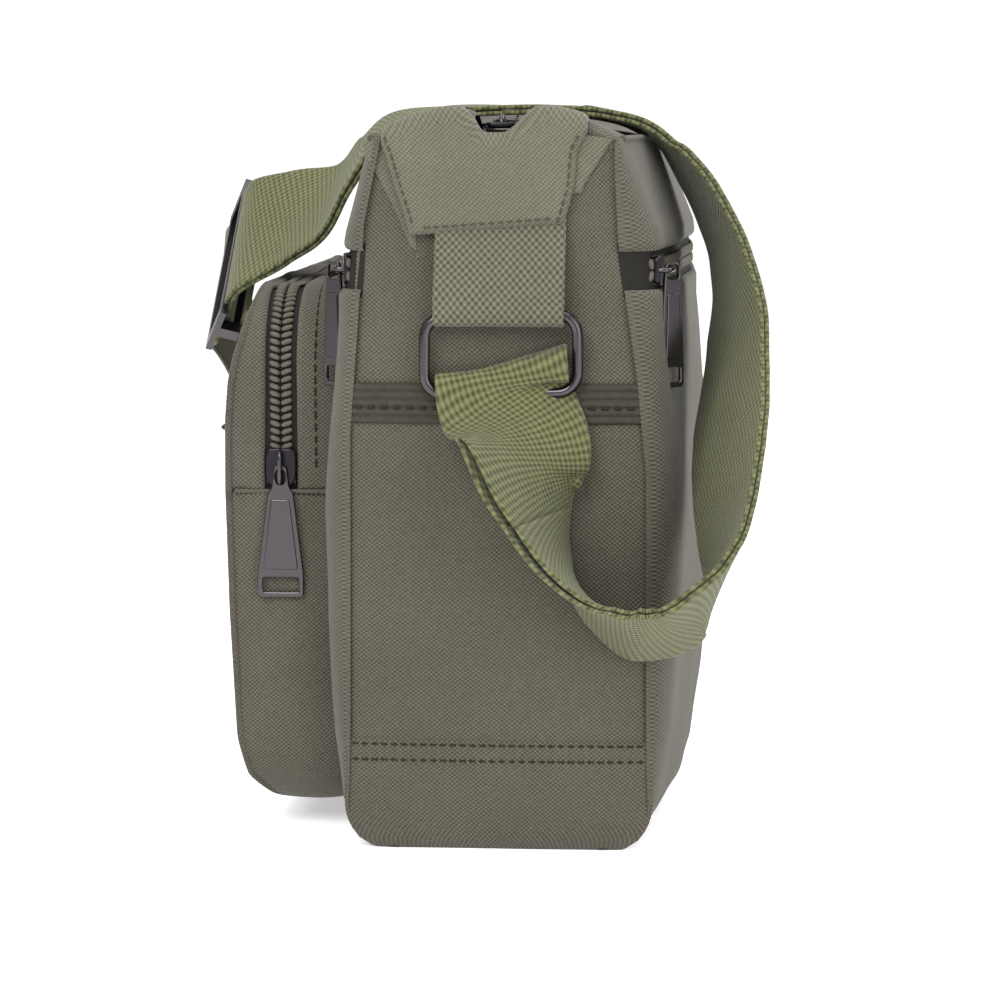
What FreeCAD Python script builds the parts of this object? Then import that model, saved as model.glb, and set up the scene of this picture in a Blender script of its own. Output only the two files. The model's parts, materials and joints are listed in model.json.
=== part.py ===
"""Canvas messenger bag: box body, bellows front pocket, five zippers, two strap rings and a webbing strap.

Frame: X along the bag's length, the "near" end at +X; the front faces -Y; +Z up.
The origin is the middle of the flat base. All lengths are millimetres.
"""
import FreeCAD, Part
import math
import os
import Sketcher

V = FreeCAD.Vector

DIMENSIONS = [
    ("bag_length", 244.0, "length over the two end gussets"),
    ("depth_middle", 96.0, "depth of the main body at the middle of its length"),
    ("depth_end", 78.0, "depth of the main body at its ends"),
    ("wall_radius", 831.4, "radius, seen from above, that gives the walls that swell"),
    ("base_radius", 12.0, "radius where the walls turn under into the base"),
    ("shoulder_height", 187.0, "height of the top edges of the yokes"),
    ("shoulder_half", 32.0, "half depth at the shoulders, at the ends"),
    ("shoulder_swell", 4.0, "how much deeper the shoulders are in the middle"),
    ("crown_height", 190.5, "height of the top panels beside the zipper"),
    ("top_gap_half", 6.5, "half width of the opening over the main zipper"),
    ("wall_sweep", 16.88, "angle that the walls take up of their curve"),
    ("canvas", 1.8, "canvas with its backing"),
    ("boot_height", 29.0, "how far the base turns up at each end"),
    ("wall_zip_height", 153.0, "height of the front and back slip zippers"),
    ("zip_opening", 10.0, "width of the slit that shows a zipper"),
    ("zip_length", 232.0, "length of the main zipper"),
    ("zip_sweep", 16.2, "angle that the slip zippers take up of the walls' curve"),
    ("top_tape_height", 184.8, "height of the main zipper's tape, at its middle"),
    ("slider_rest_x", 112.0, "where the long zippers' sliders rest"),
    ("slider_rest_y", 38.6, "depth of the slip zippers' tapes where the sliders rest"),
    ("top_rise", 2.35, "how much higher the main zipper is where its slider rests"),
    ("lining", 0.8, "lining cloth"),
    ("lining_inset", 2.0, "from a wall's outside to the slip pocket lining"),
    ("lining_top", 182.0, "top of the linings"),
    ("pocket_length", 208.0, "length of the bellows pocket"),
    ("pocket_bottom", 8.0, "lowest height of the bellows pocket"),
    ("pocket_top", 147.0, "highest height of the bellows pocket"),
    ("pocket_front", 73.0, "from the bag's middle to the front edge of the pocket's gusset"),
    ("pocket_radius", 22.0, "corner radius of the bellows pocket"),
    ("pocket_seam", 93.0, "height where the gusset meets the zipped arch"),
    ("pocket_zip", 60.0, "from the bag's middle to the pocket zipper's middle"),
    ("face_canvas", 2.0, "pocket face with its backing"),
    ("face_zip_height", 108.0, "height of the small zipper in the pocket face"),
    ("face_zip_length", 184.0, "length of the small zipper"),
    ("tape", 0.8, "zipper tape"),
    ("tape_half", 7.0, "half width of a zipper's tapes"),
    ("coil_half", 2.9, "half width of the coil"),
    ("coil_height", 2.2, "how far the coil stands above the tape"),
    ("coil_gap_half", 0.4, "half the gap that the slider's post runs in"),
    ("slider_length", 10.0, "length of a zipper slider"),
    ("slider_half", 4.1, "half width of a zipper slider"),
    ("crown", 6.5, "top of a slider's bridge above the tape"),
    ("low_crown", 5.6, "the same for the main zipper's slider, which passes under the strap"),
    ("side_pocket_half", 37.0, "half width of the end slip pockets"),
    ("side_pocket_top", 113.3, "height of the end slip pockets below the band"),
    ("band_top", 124.0, "top of the ribbed band"),
    ("ring_wire", 2.8, "wire of the strap rings"),
    ("ring_inner", 36.6, "inner width of the strap rings"),
    ("ring_rise", 20.0, "between the axes of a ring's upper and lower bars"),
    ("ring_pivot_height", 141.5, "height of a ring's upper bar"),
    ("ring_stand_out", 5.0, "from the end gusset to the ring's plane"),
    ("loop_width", 34.4, "webbing loop that holds a ring, and the strap inside a ring"),
    ("loop_top", 162.5, "where a loop is sewn to the end"),
    ("webbing_width", 38.0, "strap webbing"),
    ("webbing", 1.2, "thickness of the strap webbing"),
    ("layer_gap", 0.3, "gap between the strap's two layers"),
    ("flap_foot_half", 19.0, "half width of the end flap at its foot"),
    ("flap_top_half", 29.0, "half width of the end flap at the top"),
]

doc = FreeCAD.newDocument("messenger_bag")
sheet = doc.addObject("Spreadsheet::Sheet", "Dims")
for row, (alias, value, meaning) in enumerate(DIMENSIONS, start=1):
    sheet.set(f"A{row}", meaning)
    sheet.set(f"B{row}", str(value))
    sheet.setAlias(f"B{row}", alias)
doc.recompute()


class Size:
    """A length that keeps the spreadsheet expression behind its value."""

    def __init__(self, value, text):
        self.value = value
        self.text = text

    def __neg__(self):
        return Size(-self.value, f"-({self.text})")

    def __add__(self, other):
        return Size(self.value + number(other), f"({self.text} + {words(other)})")

    def __sub__(self, other):
        return Size(self.value - number(other), f"({self.text} - {words(other)})")

    def __rsub__(self, other):
        return Size(other - self.value, f"({other} - {self.text})")

    def __mul__(self, factor):
        return Size(self.value * factor, f"({self.text} * {factor})")

    def __truediv__(self, divisor):
        return Size(self.value / divisor, f"({self.text} / {divisor})")

    __radd__ = __add__
    __rmul__ = __mul__


def number(length):
    return length.value if isinstance(length, Size) else float(length)


def words(length):
    return length.text if isinstance(length, Size) else f"({float(length)})"


def dim(alias):
    """The driving dimension that a sheet cell holds."""
    return Size(float(sheet.get(alias)), f"Dims.{alias}")


def bind(thing, path, length):
    """Set a property from the sheet."""
    thing.setExpression(path, words(length))


nodes = []


def keep(thing, label):
    """Name a finished sub-part; its label names its file."""
    thing.Label = label
    nodes.append(thing)
    return thing


# ---- sketch and feature helpers -------------------------------------------------------------


def body_named(label):
    body = doc.addObject("PartDesign::Body", label)
    return keep(body, label)


def sketch_on(body, name, role, offset=0.0):
    """A sketch on one of the body's own origin planes, moved along the plane's normal."""
    plane = [f for f in body.Origin.OriginFeatures if f.Role == role][0]
    sketch = body.newObject("Sketcher::SketchObject", name)
    sketch.AttachmentSupport = [(plane, "")]
    sketch.MapMode = "FlatFace"
    bind(sketch, "AttachmentOffset.Base.z", offset)
    return sketch


def add_loop(sketch, points):
    """A closed outline whose every corner is held by two bound distances."""
    first = sketch.GeometryCount
    count = len(points)
    flat = [V(number(x), number(y), 0) for x, y in points]
    for i in range(count):
        sketch.addGeometry(Part.LineSegment(flat[i], flat[(i + 1) % count]), False)
    for i in range(count):
        following = first + (i + 1) % count
        sketch.addConstraint(Sketcher.Constraint("Coincident", first + i, 2, following, 1))
    for i, corner in enumerate(points):
        for kind, length in zip(("DistanceX", "DistanceY"), corner):
            made = Sketcher.Constraint(kind, -1, 1, first + i, 1, number(length))
            index = sketch.addConstraint(made)
            bind(sketch, f"Constraints[{index}]", length)


def add_circle(sketch, x, y, radius):
    """A circle held by its centre and radius."""
    centre = V(number(x), number(y), 0)
    index = sketch.addGeometry(Part.Circle(centre, V(0, 0, 1), number(radius)), False)
    for kind, length in (("DistanceX", x), ("DistanceY", y)):
        made = sketch.addConstraint(Sketcher.Constraint(kind, -1, 1, index, 3, number(length)))
        bind(sketch, f"Constraints[{made}]", length)
    made = sketch.addConstraint(Sketcher.Constraint("Radius", index, number(radius)))
    bind(sketch, f"Constraints[{made}]", radius)


def pad(body, sketch, name, length, symmetric=False, reverse=False):
    feature = body.newObject("PartDesign::Pad", name)
    feature.Profile = sketch
    bind(feature, "Length", length)
    feature.SideType = "Symmetric" if symmetric else "One side"
    feature.Reversed = reverse
    body.Tip = feature
    return feature


def padded(label, role, offset, loops, length, symmetric=False, reverse=False):
    """A sub-part that is one padded outline, with any inner loops as holes."""
    body = body_named(label)
    sketch = sketch_on(body, f"{label}_outline", role, offset)
    for points in loops:
        add_loop(sketch, points)
    pad(body, sketch, f"{label}_pad", length, symmetric, reverse)
    return body


def round_edges(body, name, radius, tests):
    """Fillet the edges that pass any of the tests."""
    doc.recompute()
    base = body.Tip
    edges = enumerate(base.Shape.Edges, start=1)
    chosen = [f"Edge{i}" for i, edge in edges if any(test(edge) for test in tests)]
    feature = body.newObject("PartDesign::Fillet", name)
    feature.Base = (base, chosen)
    bind(feature, "Radius", radius)
    body.Tip = feature


def box(name, low, high):
    """A Part::Box between two corners, each coordinate bound."""
    block = doc.addObject("Part::Box", name)
    for axis, side, a, b in zip("xyz", ("Length", "Width", "Height"), low, high):
        bind(block, f"Placement.Base.{axis}", a)
        bind(block, side, Size(number(b), words(b)) - a)
    return block


# ---- driving dimensions as words ------------------------------------------------------------

end_x = dim("bag_length") / 2
middle_y = dim("depth_middle") / 2
end_y = dim("depth_end") / 2
wall_radius = dim("wall_radius")
canvas = dim("canvas")
base_radius = dim("base_radius")
shoulder = dim("shoulder_height")
shoulder_half = dim("shoulder_half")
slit_half = dim("zip_opening") / 2
wall_zip = dim("wall_zip_height")
boot = dim("boot_height")
inner_y = end_y - canvas
inner_x = end_x - canvas
foot_radius = wall_radius - base_radius - 0.6
sweep_centre = wall_radius - middle_y

# ---- main body ------------------------------------------------------------------------------


def swept(label, side, loops, angle):
    """A section swept along a wall's curve. Its first coordinate is the radius."""
    body = body_named(label)
    body.AllowCompound = True
    sketch = sketch_on(body, f"{label}_section", "YZ_Plane")
    bind(sketch, "AttachmentOffset.Base.x", sweep_centre * -side)
    for points in loops:
        add_loop(sketch, [(radius * side, height) for radius, height in points])
    turn = body.newObject("PartDesign::Revolution", f"{label}_sweep")
    turn.Profile = sketch
    turn.ReferenceAxis = (sketch, ["V_Axis"])
    bind(turn, "Angle", angle)
    turn.Midplane = True
    body.Tip = turn
    return body


def along_sweep(radius, height):
    """Picks the arcs that run along a wall at a radius and a height."""

    def test(edge):
        curve = edge.Curve
        is_arc = isinstance(curve, Part.Circle) and abs(curve.Radius - number(radius)) < 1e-3
        return is_arc and abs(curve.Center.z - number(height)) < 1e-3

    return test


def wall_panel(label, side):
    """A wall below its slip zipper; its foot turns under to meet the base."""
    top = wall_zip - slit_half
    inside = wall_radius - canvas
    points = [
        (foot_radius, 0),
        (wall_radius, 0),
        (wall_radius, top),
        (inside, top),
        (inside, canvas),
        (foot_radius, canvas),
    ]
    body = swept(label, side, [points], dim("wall_sweep"))
    round_edges(body, f"{label}_turn_out", base_radius, [along_sweep(wall_radius, 0)])
    round_edges(body, f"{label}_turn_in", base_radius - canvas, [along_sweep(inside, canvas)])


def yoke(label, side):
    """The leaning strip above a slip zipper, lofted between sections along the bag."""
    seam_rise = 2.4
    body = body_named(label)
    low = wall_zip + slit_half
    sections = []
    for i, share in enumerate((-1.0, -0.5, 0.0, 0.5, 1.0)):
        name = f"{label}_section_{i}"
        sketch = sketch_on(body, name, "YZ_Plane", end_x * share)
        swell = 1 - share * share
        foot = end_y + (middle_y - end_y) * swell
        head = shoulder_half + dim("shoulder_swell") * swell
        points = [
            (foot * side, low),
            (foot * side, low + seam_rise),
            (head * side, shoulder),
            ((head - canvas) * side, shoulder),
            ((foot - canvas) * side, low + seam_rise),
            ((foot - canvas) * side, low),
        ]
        add_loop(sketch, points)
        sections.append(sketch)
    loft = body.newObject("PartDesign::AdditiveLoft", f"{label}_loft")
    loft.Profile = sections[0]
    loft.Sections = sections[1:]
    body.Tip = loft


def disc(name, side, radius, z_low, z_high):
    """All that lies within a radius of a wall's centre of curvature."""
    cylinder = doc.addObject("Part::Cylinder", name)
    bind(cylinder, "Radius", radius)
    bind(cylinder, "Height", Size(number(z_high), words(z_high)) - z_low)
    bind(cylinder, "Placement.Base.y", sweep_centre * -side)
    bind(cylinder, "Placement.Base.z", z_low)
    return cylinder


def top_panel(label, side):
    """The strip between a shoulder and the main zipper, trimmed to the shoulder's line."""
    lip = dim("top_gap_half")
    crown = dim("crown_height")
    edge = shoulder_half + dim("shoulder_swell") + 6
    section = [
        (lip * side, crown),
        (edge * side, shoulder - 0.6),
        (edge * side, shoulder - canvas - 0.6),
        (lip * side, crown - canvas),
    ]
    strip = doc.addObject("Part::Feature", f"{label}_strip")
    strip.Shape = Part.Face(
        Part.makePolygon([V(-number(end_x), number(y), number(z)) for y, z in section + section[:1]])
    ).extrude(V(2 * number(end_x), 0, 0))
    trim = doc.addObject("Part::Cylinder", f"{label}_trim")
    swell = dim("shoulder_swell")
    radius = (number(end_x) ** 2 + number(swell) ** 2) / (2 * number(swell))
    trim.Radius = radius
    trim.Height = 40
    reach = number(shoulder_half + swell - canvas) - 0.1
    trim.Placement.Base = V(0, side * (reach - radius), 170)
    common = doc.addObject("Part::Common", label)
    common.Base = strip
    common.Tool = trim
    keep(common, label)


def bottom_panel():
    """The base between the walls' feet, turned up at both ends as a boot."""
    plate = box("base_blank", (-end_x, -middle_y, 0), (end_x, middle_y, canvas))
    for name, side in (("front", -1), ("back", 1)):
        within = disc(f"base_within_{name}", side, foot_radius - 0.1, -1, 4)
        trimmed = doc.addObject("Part::Common", f"base_trimmed_{name}")
        trimmed.Base = plate
        trimmed.Tool = within
        plate = trimmed
    pieces = [plate]
    turn = number(base_radius) + 1.5
    for name, side in (("near", 1), ("far", -1)):
        x_low, x_high = (inner_x, end_x) if side > 0 else (-end_x, -inner_x)
        blank = box(f"boot_{name}_blank", (x_low, -inner_y, 0), (x_high, inner_y, boot))
        doc.recompute()
        boot_end = doc.addObject("Part::Fillet", f"boot_{name}")
        boot_end.Base = blank
        boot_end.Edges = [
            (i, turn, turn)
            for i, edge in enumerate(blank.Shape.Edges, start=1)
            if abs(edge.tangentAt(edge.FirstParameter).x) > 0.99 and edge.CenterOfMass.z < 1
        ]
        pieces.append(boot_end)
    joined = doc.addObject("Part::MultiFuse", "bottom_panel")
    joined.Shapes = pieces
    keep(joined, "bottom_panel")


def end_gusset(label, side):
    """An end wall between the boot and the shoulders."""
    top_half = shoulder_half - canvas - 0.1
    low = wall_zip + slit_half
    half = inner_y - 0.1
    points = [
        (-half, boot),
        (half, boot),
        (half, low),
        (top_half, shoulder - 0.5),
        (-top_half, shoulder - 0.5),
        (-half, low),
    ]
    padded(label, "YZ_Plane", inner_x * side, [points], canvas, reverse=side < 0)


def end_flap(label, side):
    """The stitched cover over each end of the main zipper."""
    foot_z = dim("loop_top") + 0.5
    foot = dim("flap_foot_half")
    head = dim("flap_top_half")
    points = [(-foot, foot_z), (foot, foot_z), (head, shoulder), (-head, shoulder)]
    padded(label, "YZ_Plane", end_x * side, [points], canvas, reverse=side < 0)


def side_pocket(end_name, side):
    """The slip pocket on an end wall, with its ribbed band."""
    half = dim("side_pocket_half")
    top = dim("side_pocket_top")
    band = dim("band_top")
    cloth = [(-half, boot + 0.5), (half, boot + 0.5), (half, top), (-half, top)]
    name = f"side_pocket_{end_name}"
    padded(name, "YZ_Plane", end_x * side, [cloth], 1.2, reverse=side < 0)
    ribs = [(-half, top), (half, top), (half, band), (-half, band)]
    name = f"side_pocket_band_{end_name}"
    padded(name, "YZ_Plane", end_x * side, [ribs], 1.6, reverse=side < 0)


def lining_panel(label, side):
    """The lining that closes a slip pocket off from the main compartment."""
    half = end_x - 4
    top = dim("lining_top")
    points = [(-half, 14), (half, 14), (half, top), (-half, top)]
    depth = shoulder_half - dim("lining_inset")
    offset = depth * -side
    padded(label, "XZ_Plane", offset, [points], dim("lining"), reverse=side < 0)


wall_panel("front_panel", -1)
wall_panel("back_panel", 1)
yoke("front_yoke", -1)
yoke("back_yoke", 1)
top_panel("top_panel_front", -1)
top_panel("top_panel_back", 1)
bottom_panel()
for end_name, side in (("near", 1), ("far", -1)):
    end_gusset(f"end_gusset_{end_name}", side)
    end_flap(f"end_flap_{end_name}", side)
    side_pocket(end_name, side)
lining_panel("lining_front", -1)
lining_panel("lining_back", 1)

# ---- bellows front pocket -------------------------------------------------------------------

pocket_x = dim("pocket_length") / 2
pocket_bottom = dim("pocket_bottom")
pocket_top = dim("pocket_top")
pocket_seam = dim("pocket_seam")
pocket_front = -dim("pocket_front")
pocket_back = -end_y
pocket_zip_y = -dim("pocket_zip")
face_front = pocket_front - dim("face_canvas")


def rounded_block(name, inset, y_low, y_high):
    """The pocket's rounded outline, moved inwards by inset, between two depths."""
    low = (inset - pocket_x, y_low, pocket_bottom + inset)
    high = (pocket_x - inset, y_high, pocket_top - inset)
    block = box(f"{name}_block", low, high)
    doc.recompute()
    radius = number(dim("pocket_radius") - inset)
    upright = [
        i
        for i, edge in enumerate(block.Shape.Edges, start=1)
        if abs(edge.tangentAt(edge.FirstParameter).y) > 0.99
    ]
    rounded = doc.addObject("Part::Fillet", f"{name}_rounded")
    rounded.Base = block
    rounded.Edges = [(i, radius, radius) for i in upright]
    return rounded


def cut_to_heights(name, whole, z_low, z_high):
    """The part of the pocket's outline between two heights."""
    slab = box(f"{name}_slab", (-pocket_x - 9, -120, z_low), (pocket_x + 9, 0, z_high))
    common = doc.addObject("Part::Common", name)
    common.Base = whole
    common.Tool = slab
    return common


def pocket_band(name, outer, inner, y_low, y_high, z_low, z_high):
    """A strip that follows the pocket's outline, between two insets, depths and heights."""
    outside = rounded_block(f"{name}_outer", outer, y_low, y_high)
    inside = rounded_block(f"{name}_inner", inner, y_low - 1, y_high + 1)
    ring = doc.addObject("Part::Cut", f"{name}_ring")
    ring.Base = outside
    ring.Tool = inside
    clear = doc.addObject("Part::Cut", f"{name}_clear")
    clear.Base = ring
    clear.Tool = disc(f"{name}_wall", -1, wall_radius + 0.2, -10, 200)
    return cut_to_heights(f"{name}_band", clear, z_low, z_high)


def pocket_wall(label, y_low, y_high, z_low, z_high):
    zero = canvas * 0
    keep(pocket_band(label, zero, canvas, y_low, y_high, z_low, z_high), label)


def pocket_face(label, z_low, z_high):
    whole = rounded_block(label, canvas * 0, face_front, pocket_front)
    keep(cut_to_heights(f"{label}_face", whole, z_low, z_high), label)


def pocket_zipper(label):
    """Tapes and coils that climb one side, cross the top and come down the other."""
    low = pocket_seam + 0.5
    high = pocket_top + 9
    sides = []
    for name, sign in (("front", -1), ("back", 1)):
        inner_edge = pocket_zip_y + dim("coil_gap_half") * sign
        strips = []
        for part, half, outer, inner in (
            ("tape", dim("tape_half"), canvas, canvas + dim("tape")),
            ("coil", dim("coil_half"), canvas - dim("coil_height"), canvas),
        ):
            outer_edge = pocket_zip_y + half * sign
            y_low, y_high = (outer_edge, inner_edge) if sign < 0 else (inner_edge, outer_edge)
            strips.append(pocket_band(f"{name}_{part}", outer, inner, y_low, y_high, low, high))
        joined = doc.addObject("Part::MultiFuse", f"pocket_zipper_{name}")
        joined.Shapes = strips
        sides.append(joined)
    both = doc.addObject("Part::Compound", label)
    both.Links = sides
    keep(both, label)


pocket_wall("pocket_gusset", pocket_front, pocket_back, pocket_bottom - 1, pocket_seam)
pocket_wall("pocket_arch_front", pocket_front, pocket_zip_y - slit_half, pocket_seam, pocket_top + 1)
pocket_wall("pocket_arch_back", pocket_zip_y + slit_half, pocket_back, pocket_seam, pocket_top + 1)
face_zip = dim("face_zip_height")
pocket_face("pocket_face_lower", pocket_bottom - 1, face_zip - slit_half)
pocket_face("pocket_face_upper", face_zip + slit_half, pocket_top + 1)
pocket_zipper("pocket_zipper")
padded(
    "face_pocket_lining",
    "XZ_Plane",
    -pocket_front - 3.6,
    [[(-90, 40), (90, 40), (90, 125), (-90, 125)]],
    dim("lining"),
)
padded("label_patch", "XZ_Plane", -face_front, [[(62, 34.5), (98, 34.5), (98, 62), (62, 62)]], 1.2)

# ---- straight zippers -----------------------------------------------------------------------
# Local frame of a zipper: x along its travel, y across it, z outwards from the tape's face.

FACING_FRONT = FreeCAD.Rotation(V(1, 0, 0), V(0, 0, 1), V(0, -1, 0), "XYZ")
FACING_BACK = FreeCAD.Rotation(V(1, 0, 0), V(0, 0, -1), V(0, 1, 0), "XYZ")
FACING_UP = FreeCAD.Rotation()
STANDING = FreeCAD.Rotation(V(0, 0, 1), V(0, -1, 0), V(1, 0, 0), "XYZ")

top_tape = dim("top_tape_height")
bar_radius = 0.55
bridge_axis = dim("crown") - bar_radius


def put(body, rotation, x, y, z):
    """Turn a sub-part, then bind its place."""
    body.Placement = FreeCAD.Placement(V(0, 0, 0), rotation)
    for axis, length in zip("xyz", (x, y, z)):
        bind(body, f"Placement.Base.{axis}", length)


def chain_section(out, across):
    """Half of a zipper's section: tape with its coil. The two functions place a point."""
    gap = dim("coil_gap_half")
    coil = dim("coil_half")
    half = dim("tape_half")
    height = dim("coil_height")
    corners = [(gap, -dim("tape")), (half, -dim("tape")), (half, 0), (coil, 0), (coil, height), (gap, height)]
    return [(out(level), across(width)) for width, level in corners]


def slip_zipper_sections():
    """Both halves of a slip zipper's section, as radius and height."""
    face = wall_radius - canvas
    return [
        chain_section(lambda level: face + level, lambda width, s=s: wall_zip + width * s)
        for s in (-1, 1)
    ]


def zipper_chain(label, length, rotation, y, z):
    """Two tapes, each with its half of the coil along the edge."""
    body = body_named(label)
    body.AllowCompound = True
    sketch = sketch_on(body, f"{label}_section", "YZ_Plane")
    for side in (-1, 1):
        section = chain_section(lambda level: level, lambda width, side=side: width * side)
        add_loop(sketch, [(width, level) for level, width in section])
    pad(body, sketch, f"{label}_pad", length, symmetric=True)
    put(body, rotation, 0, y, z)


def slider(label, crown, rotation, x, y, z):
    """Slider with a plate on each side of the tape, a thin post between them and a bridge."""
    half = dim("slider_half")
    axis = crown - bar_radius
    lip = half - 0.9
    web = 0.25
    body = body_named(label)
    section = sketch_on(body, f"{label}_section", "YZ_Plane")
    right = [
        (half, -2.0),
        (half, -1.1),
        (web, -1.1),
        (web, 2.5),
        (lip, 2.5),
        (lip, 0.3),
        (half, 0.3),
        (half, 3.1),
    ]
    left = [(-1 * a if isinstance(a, Size) else -a, b) for a, b in reversed(right)]
    add_loop(section, right + left)
    pad(body, section, f"{label}_pad", dim("slider_length"), symmetric=True)
    posts = sketch_on(body, f"{label}_posts", "XZ_Plane")
    for end in (-1, 1):
        add_loop(
            posts,
            [(4.3 * end, 3.0), (4.3 * end, axis), (3.3 * end, axis), (3.3 * end, 3.0)],
        )
    pad(body, posts, f"{label}_posts_pad", 1.2, symmetric=True)
    bar = sketch_on(body, f"{label}_bar", "YZ_Plane")
    add_circle(bar, 0, axis, bar_radius)
    pad(body, bar, f"{label}_bar_pad", 8.6, symmetric=True)
    put(body, rotation, x, y, z)


def pull(label, size, barrel, rotation, x, y, z):
    """A pull tab. Its local origin is its hinge axis, and it points along local -x.

    With a barrel, the eye ends in a round bar on the axis, which goes under the slider's bar.
    Without one, the eye goes loosely round the slider's bar, which is on the axis.
    """
    reach, shoulder_width, foot_width = size
    neck, eye_half, top, eye_end = (2.3, 1.3, 0.0, -4.95) if barrel else (2.9, 2.1, 1.9, -2.6)
    frame_start = 6.6 - reach
    window_start = 5.4 - reach
    window_end = 1.4 - reach
    window_half = foot_width - 1.3
    right = [
        (top, neck - 0.9),
        (top - 0.8, neck),
        (eye_end - 0.4, neck),
        (eye_end - 2.0, shoulder_width),
        (frame_start, foot_width),
        (-reach, foot_width),
    ]
    left = [(a, -b) for a, b in reversed(right)]
    window = [
        (window_start, -window_half),
        (window_start, window_half),
        (window_end, window_half),
        (window_end, -window_half),
    ]
    if barrel:
        mouth = [(top, -eye_half), (eye_end, -eye_half), (eye_end, eye_half), (top, eye_half)]
        loops = [right + left + mouth, window]
    else:
        crown = top - 0.9
        eye = [(crown, -eye_half), (crown, eye_half), (eye_end, eye_half), (eye_end, -eye_half)]
        loops = [right + left, eye, window]
    body = padded(label, "XY_Plane", 0, loops, 1.1, symmetric=True)
    if barrel:
        bar = sketch_on(body, f"{label}_barrel", "XZ_Plane")
        add_circle(bar, 0, 0, bar_radius)
        pad(body, bar, f"{label}_barrel_pad", 2 * neck, symmetric=True)
    put(body, rotation, x, y, z)


rest_x = dim("slider_rest_x")
rest_y = dim("slider_rest_y")
face_tape = pocket_front
short = (26.0, 3.0, 4.0)
slim = (31.0, 3.0, 4.0)
large = (35.0, 3.5, 6.2)


def turned(rotation, axis, degrees):
    return FreeCAD.Rotation(axis, degrees).multiply(rotation)


# The main zipper rises towards the end where its slider rests.
top_slope = math.degrees(math.asin(number(dim("top_rise")) / number(rest_x)))
tilted = turned(FACING_UP, V(0, 1, 0), -top_slope)
top_rest_z = top_tape + dim("top_rise")
zipper_chain("top_zipper", dim("zip_length"), tilted, 0, top_tape)
slider("top_slider", dim("low_crown"), tilted, rest_x, 0, top_rest_z)
pull("top_pull", short, True, tilted, rest_x, 0, top_rest_z + dim("low_crown") - 1.8)

# The slip zippers follow the walls' curve, so their sliders rest turned towards the near end.
rest_turn = math.degrees(math.asin(number(rest_x) / number(wall_radius - canvas)))
twist = 50
for name, side, facing in (("front", -1, FACING_FRONT), ("back", 1, FACING_BACK)):
    turn = -side * rest_turn
    swept(f"{name}_zipper", side, slip_zipper_sections(), dim("zip_sweep"))
    slider(f"{name}_slider", dim("crown"), turned(facing, V(0, 0, 1), turn), rest_x, rest_y * side, wall_zip)
    out_x = rest_x + bridge_axis * (number(rest_x) / number(wall_radius - canvas))
    out_y = (rest_y + bridge_axis * 0.991) * side
    hanging = turned(STANDING, V(0, 0, 1), turn + twist * side)
    pull(f"{name}_pull", slim, False, hanging, out_x, out_y, wall_zip)

face_stop = dim("face_zip_length") / 2 - 12
zipper_chain("face_zipper", dim("face_zip_length"), FACING_FRONT, face_tape, face_zip)
slider("face_slider", dim("crown"), FACING_FRONT, face_stop, face_tape, face_zip)
pull("face_pull", slim, True, FACING_FRONT, face_stop, face_tape - (dim("crown") - 2.1), face_zip)

pocket_tape_x = pocket_x - canvas
pocket_slider_z = pocket_seam + 6.5
slider("pocket_slider", dim("crown"), STANDING, pocket_tape_x, pocket_zip_y, pocket_slider_z)
pocket_eye_x = pocket_tape_x + dim("crown") - 2.1
pull("pocket_pull", large, True, STANDING, pocket_eye_x, pocket_zip_y, pocket_slider_z)

# ---- strap rings, their loops and the webbing turned round them ------------------------------

wire = dim("ring_wire")
ring_x = end_x + dim("ring_stand_out")
pivot_z = dim("ring_pivot_height")
lower_bar_z = pivot_z - dim("ring_rise")
bar_clearance = 0.1
webbing = dim("webbing")


def strap_ring(label, side):
    """A rectangular wire ring: a rounded block with a rounded window, all edges softened."""
    half = dim("ring_inner") / 2
    low = (ring_x * side - wire / 2, -half - wire, lower_bar_z - wire / 2)
    high = (ring_x * side + wire / 2, half + wire, pivot_z + wire / 2)
    outer = box(f"{label}_outer", low, high)
    inner_low = (low[0] - 1, -half, lower_bar_z + wire / 2)
    inner_high = (high[0] + 1, half, pivot_z - wire / 2)
    inner = box(f"{label}_inner", inner_low, inner_high)
    doc.recompute()
    solids = []
    for name, block, radius in (("outer", outer, 3.8), ("inner", inner, 1.0)):
        rounded = doc.addObject("Part::Fillet", f"{label}_{name}_corners")
        rounded.Base = block
        rounded.Edges = [
            (i, radius, radius)
            for i, edge in enumerate(block.Shape.Edges, start=1)
            if abs(edge.tangentAt(edge.FirstParameter).x) > 0.99
        ]
        solids.append(rounded)
    ring = doc.addObject("Part::Cut", f"{label}_frame")
    ring.Base = solids[0]
    ring.Tool = solids[1]
    doc.recompute()
    soft = number(wire) * 0.46
    wired = doc.addObject("Part::Fillet", f"{label}_wire")
    wired.Base = ring
    wired.Edges = [
        (i, soft, soft)
        for i, edge in enumerate(ring.Shape.Edges, start=1)
        if abs(edge.tangentAt(edge.FirstParameter).x) < 0.5
    ]
    keep(wired, label)


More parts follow.
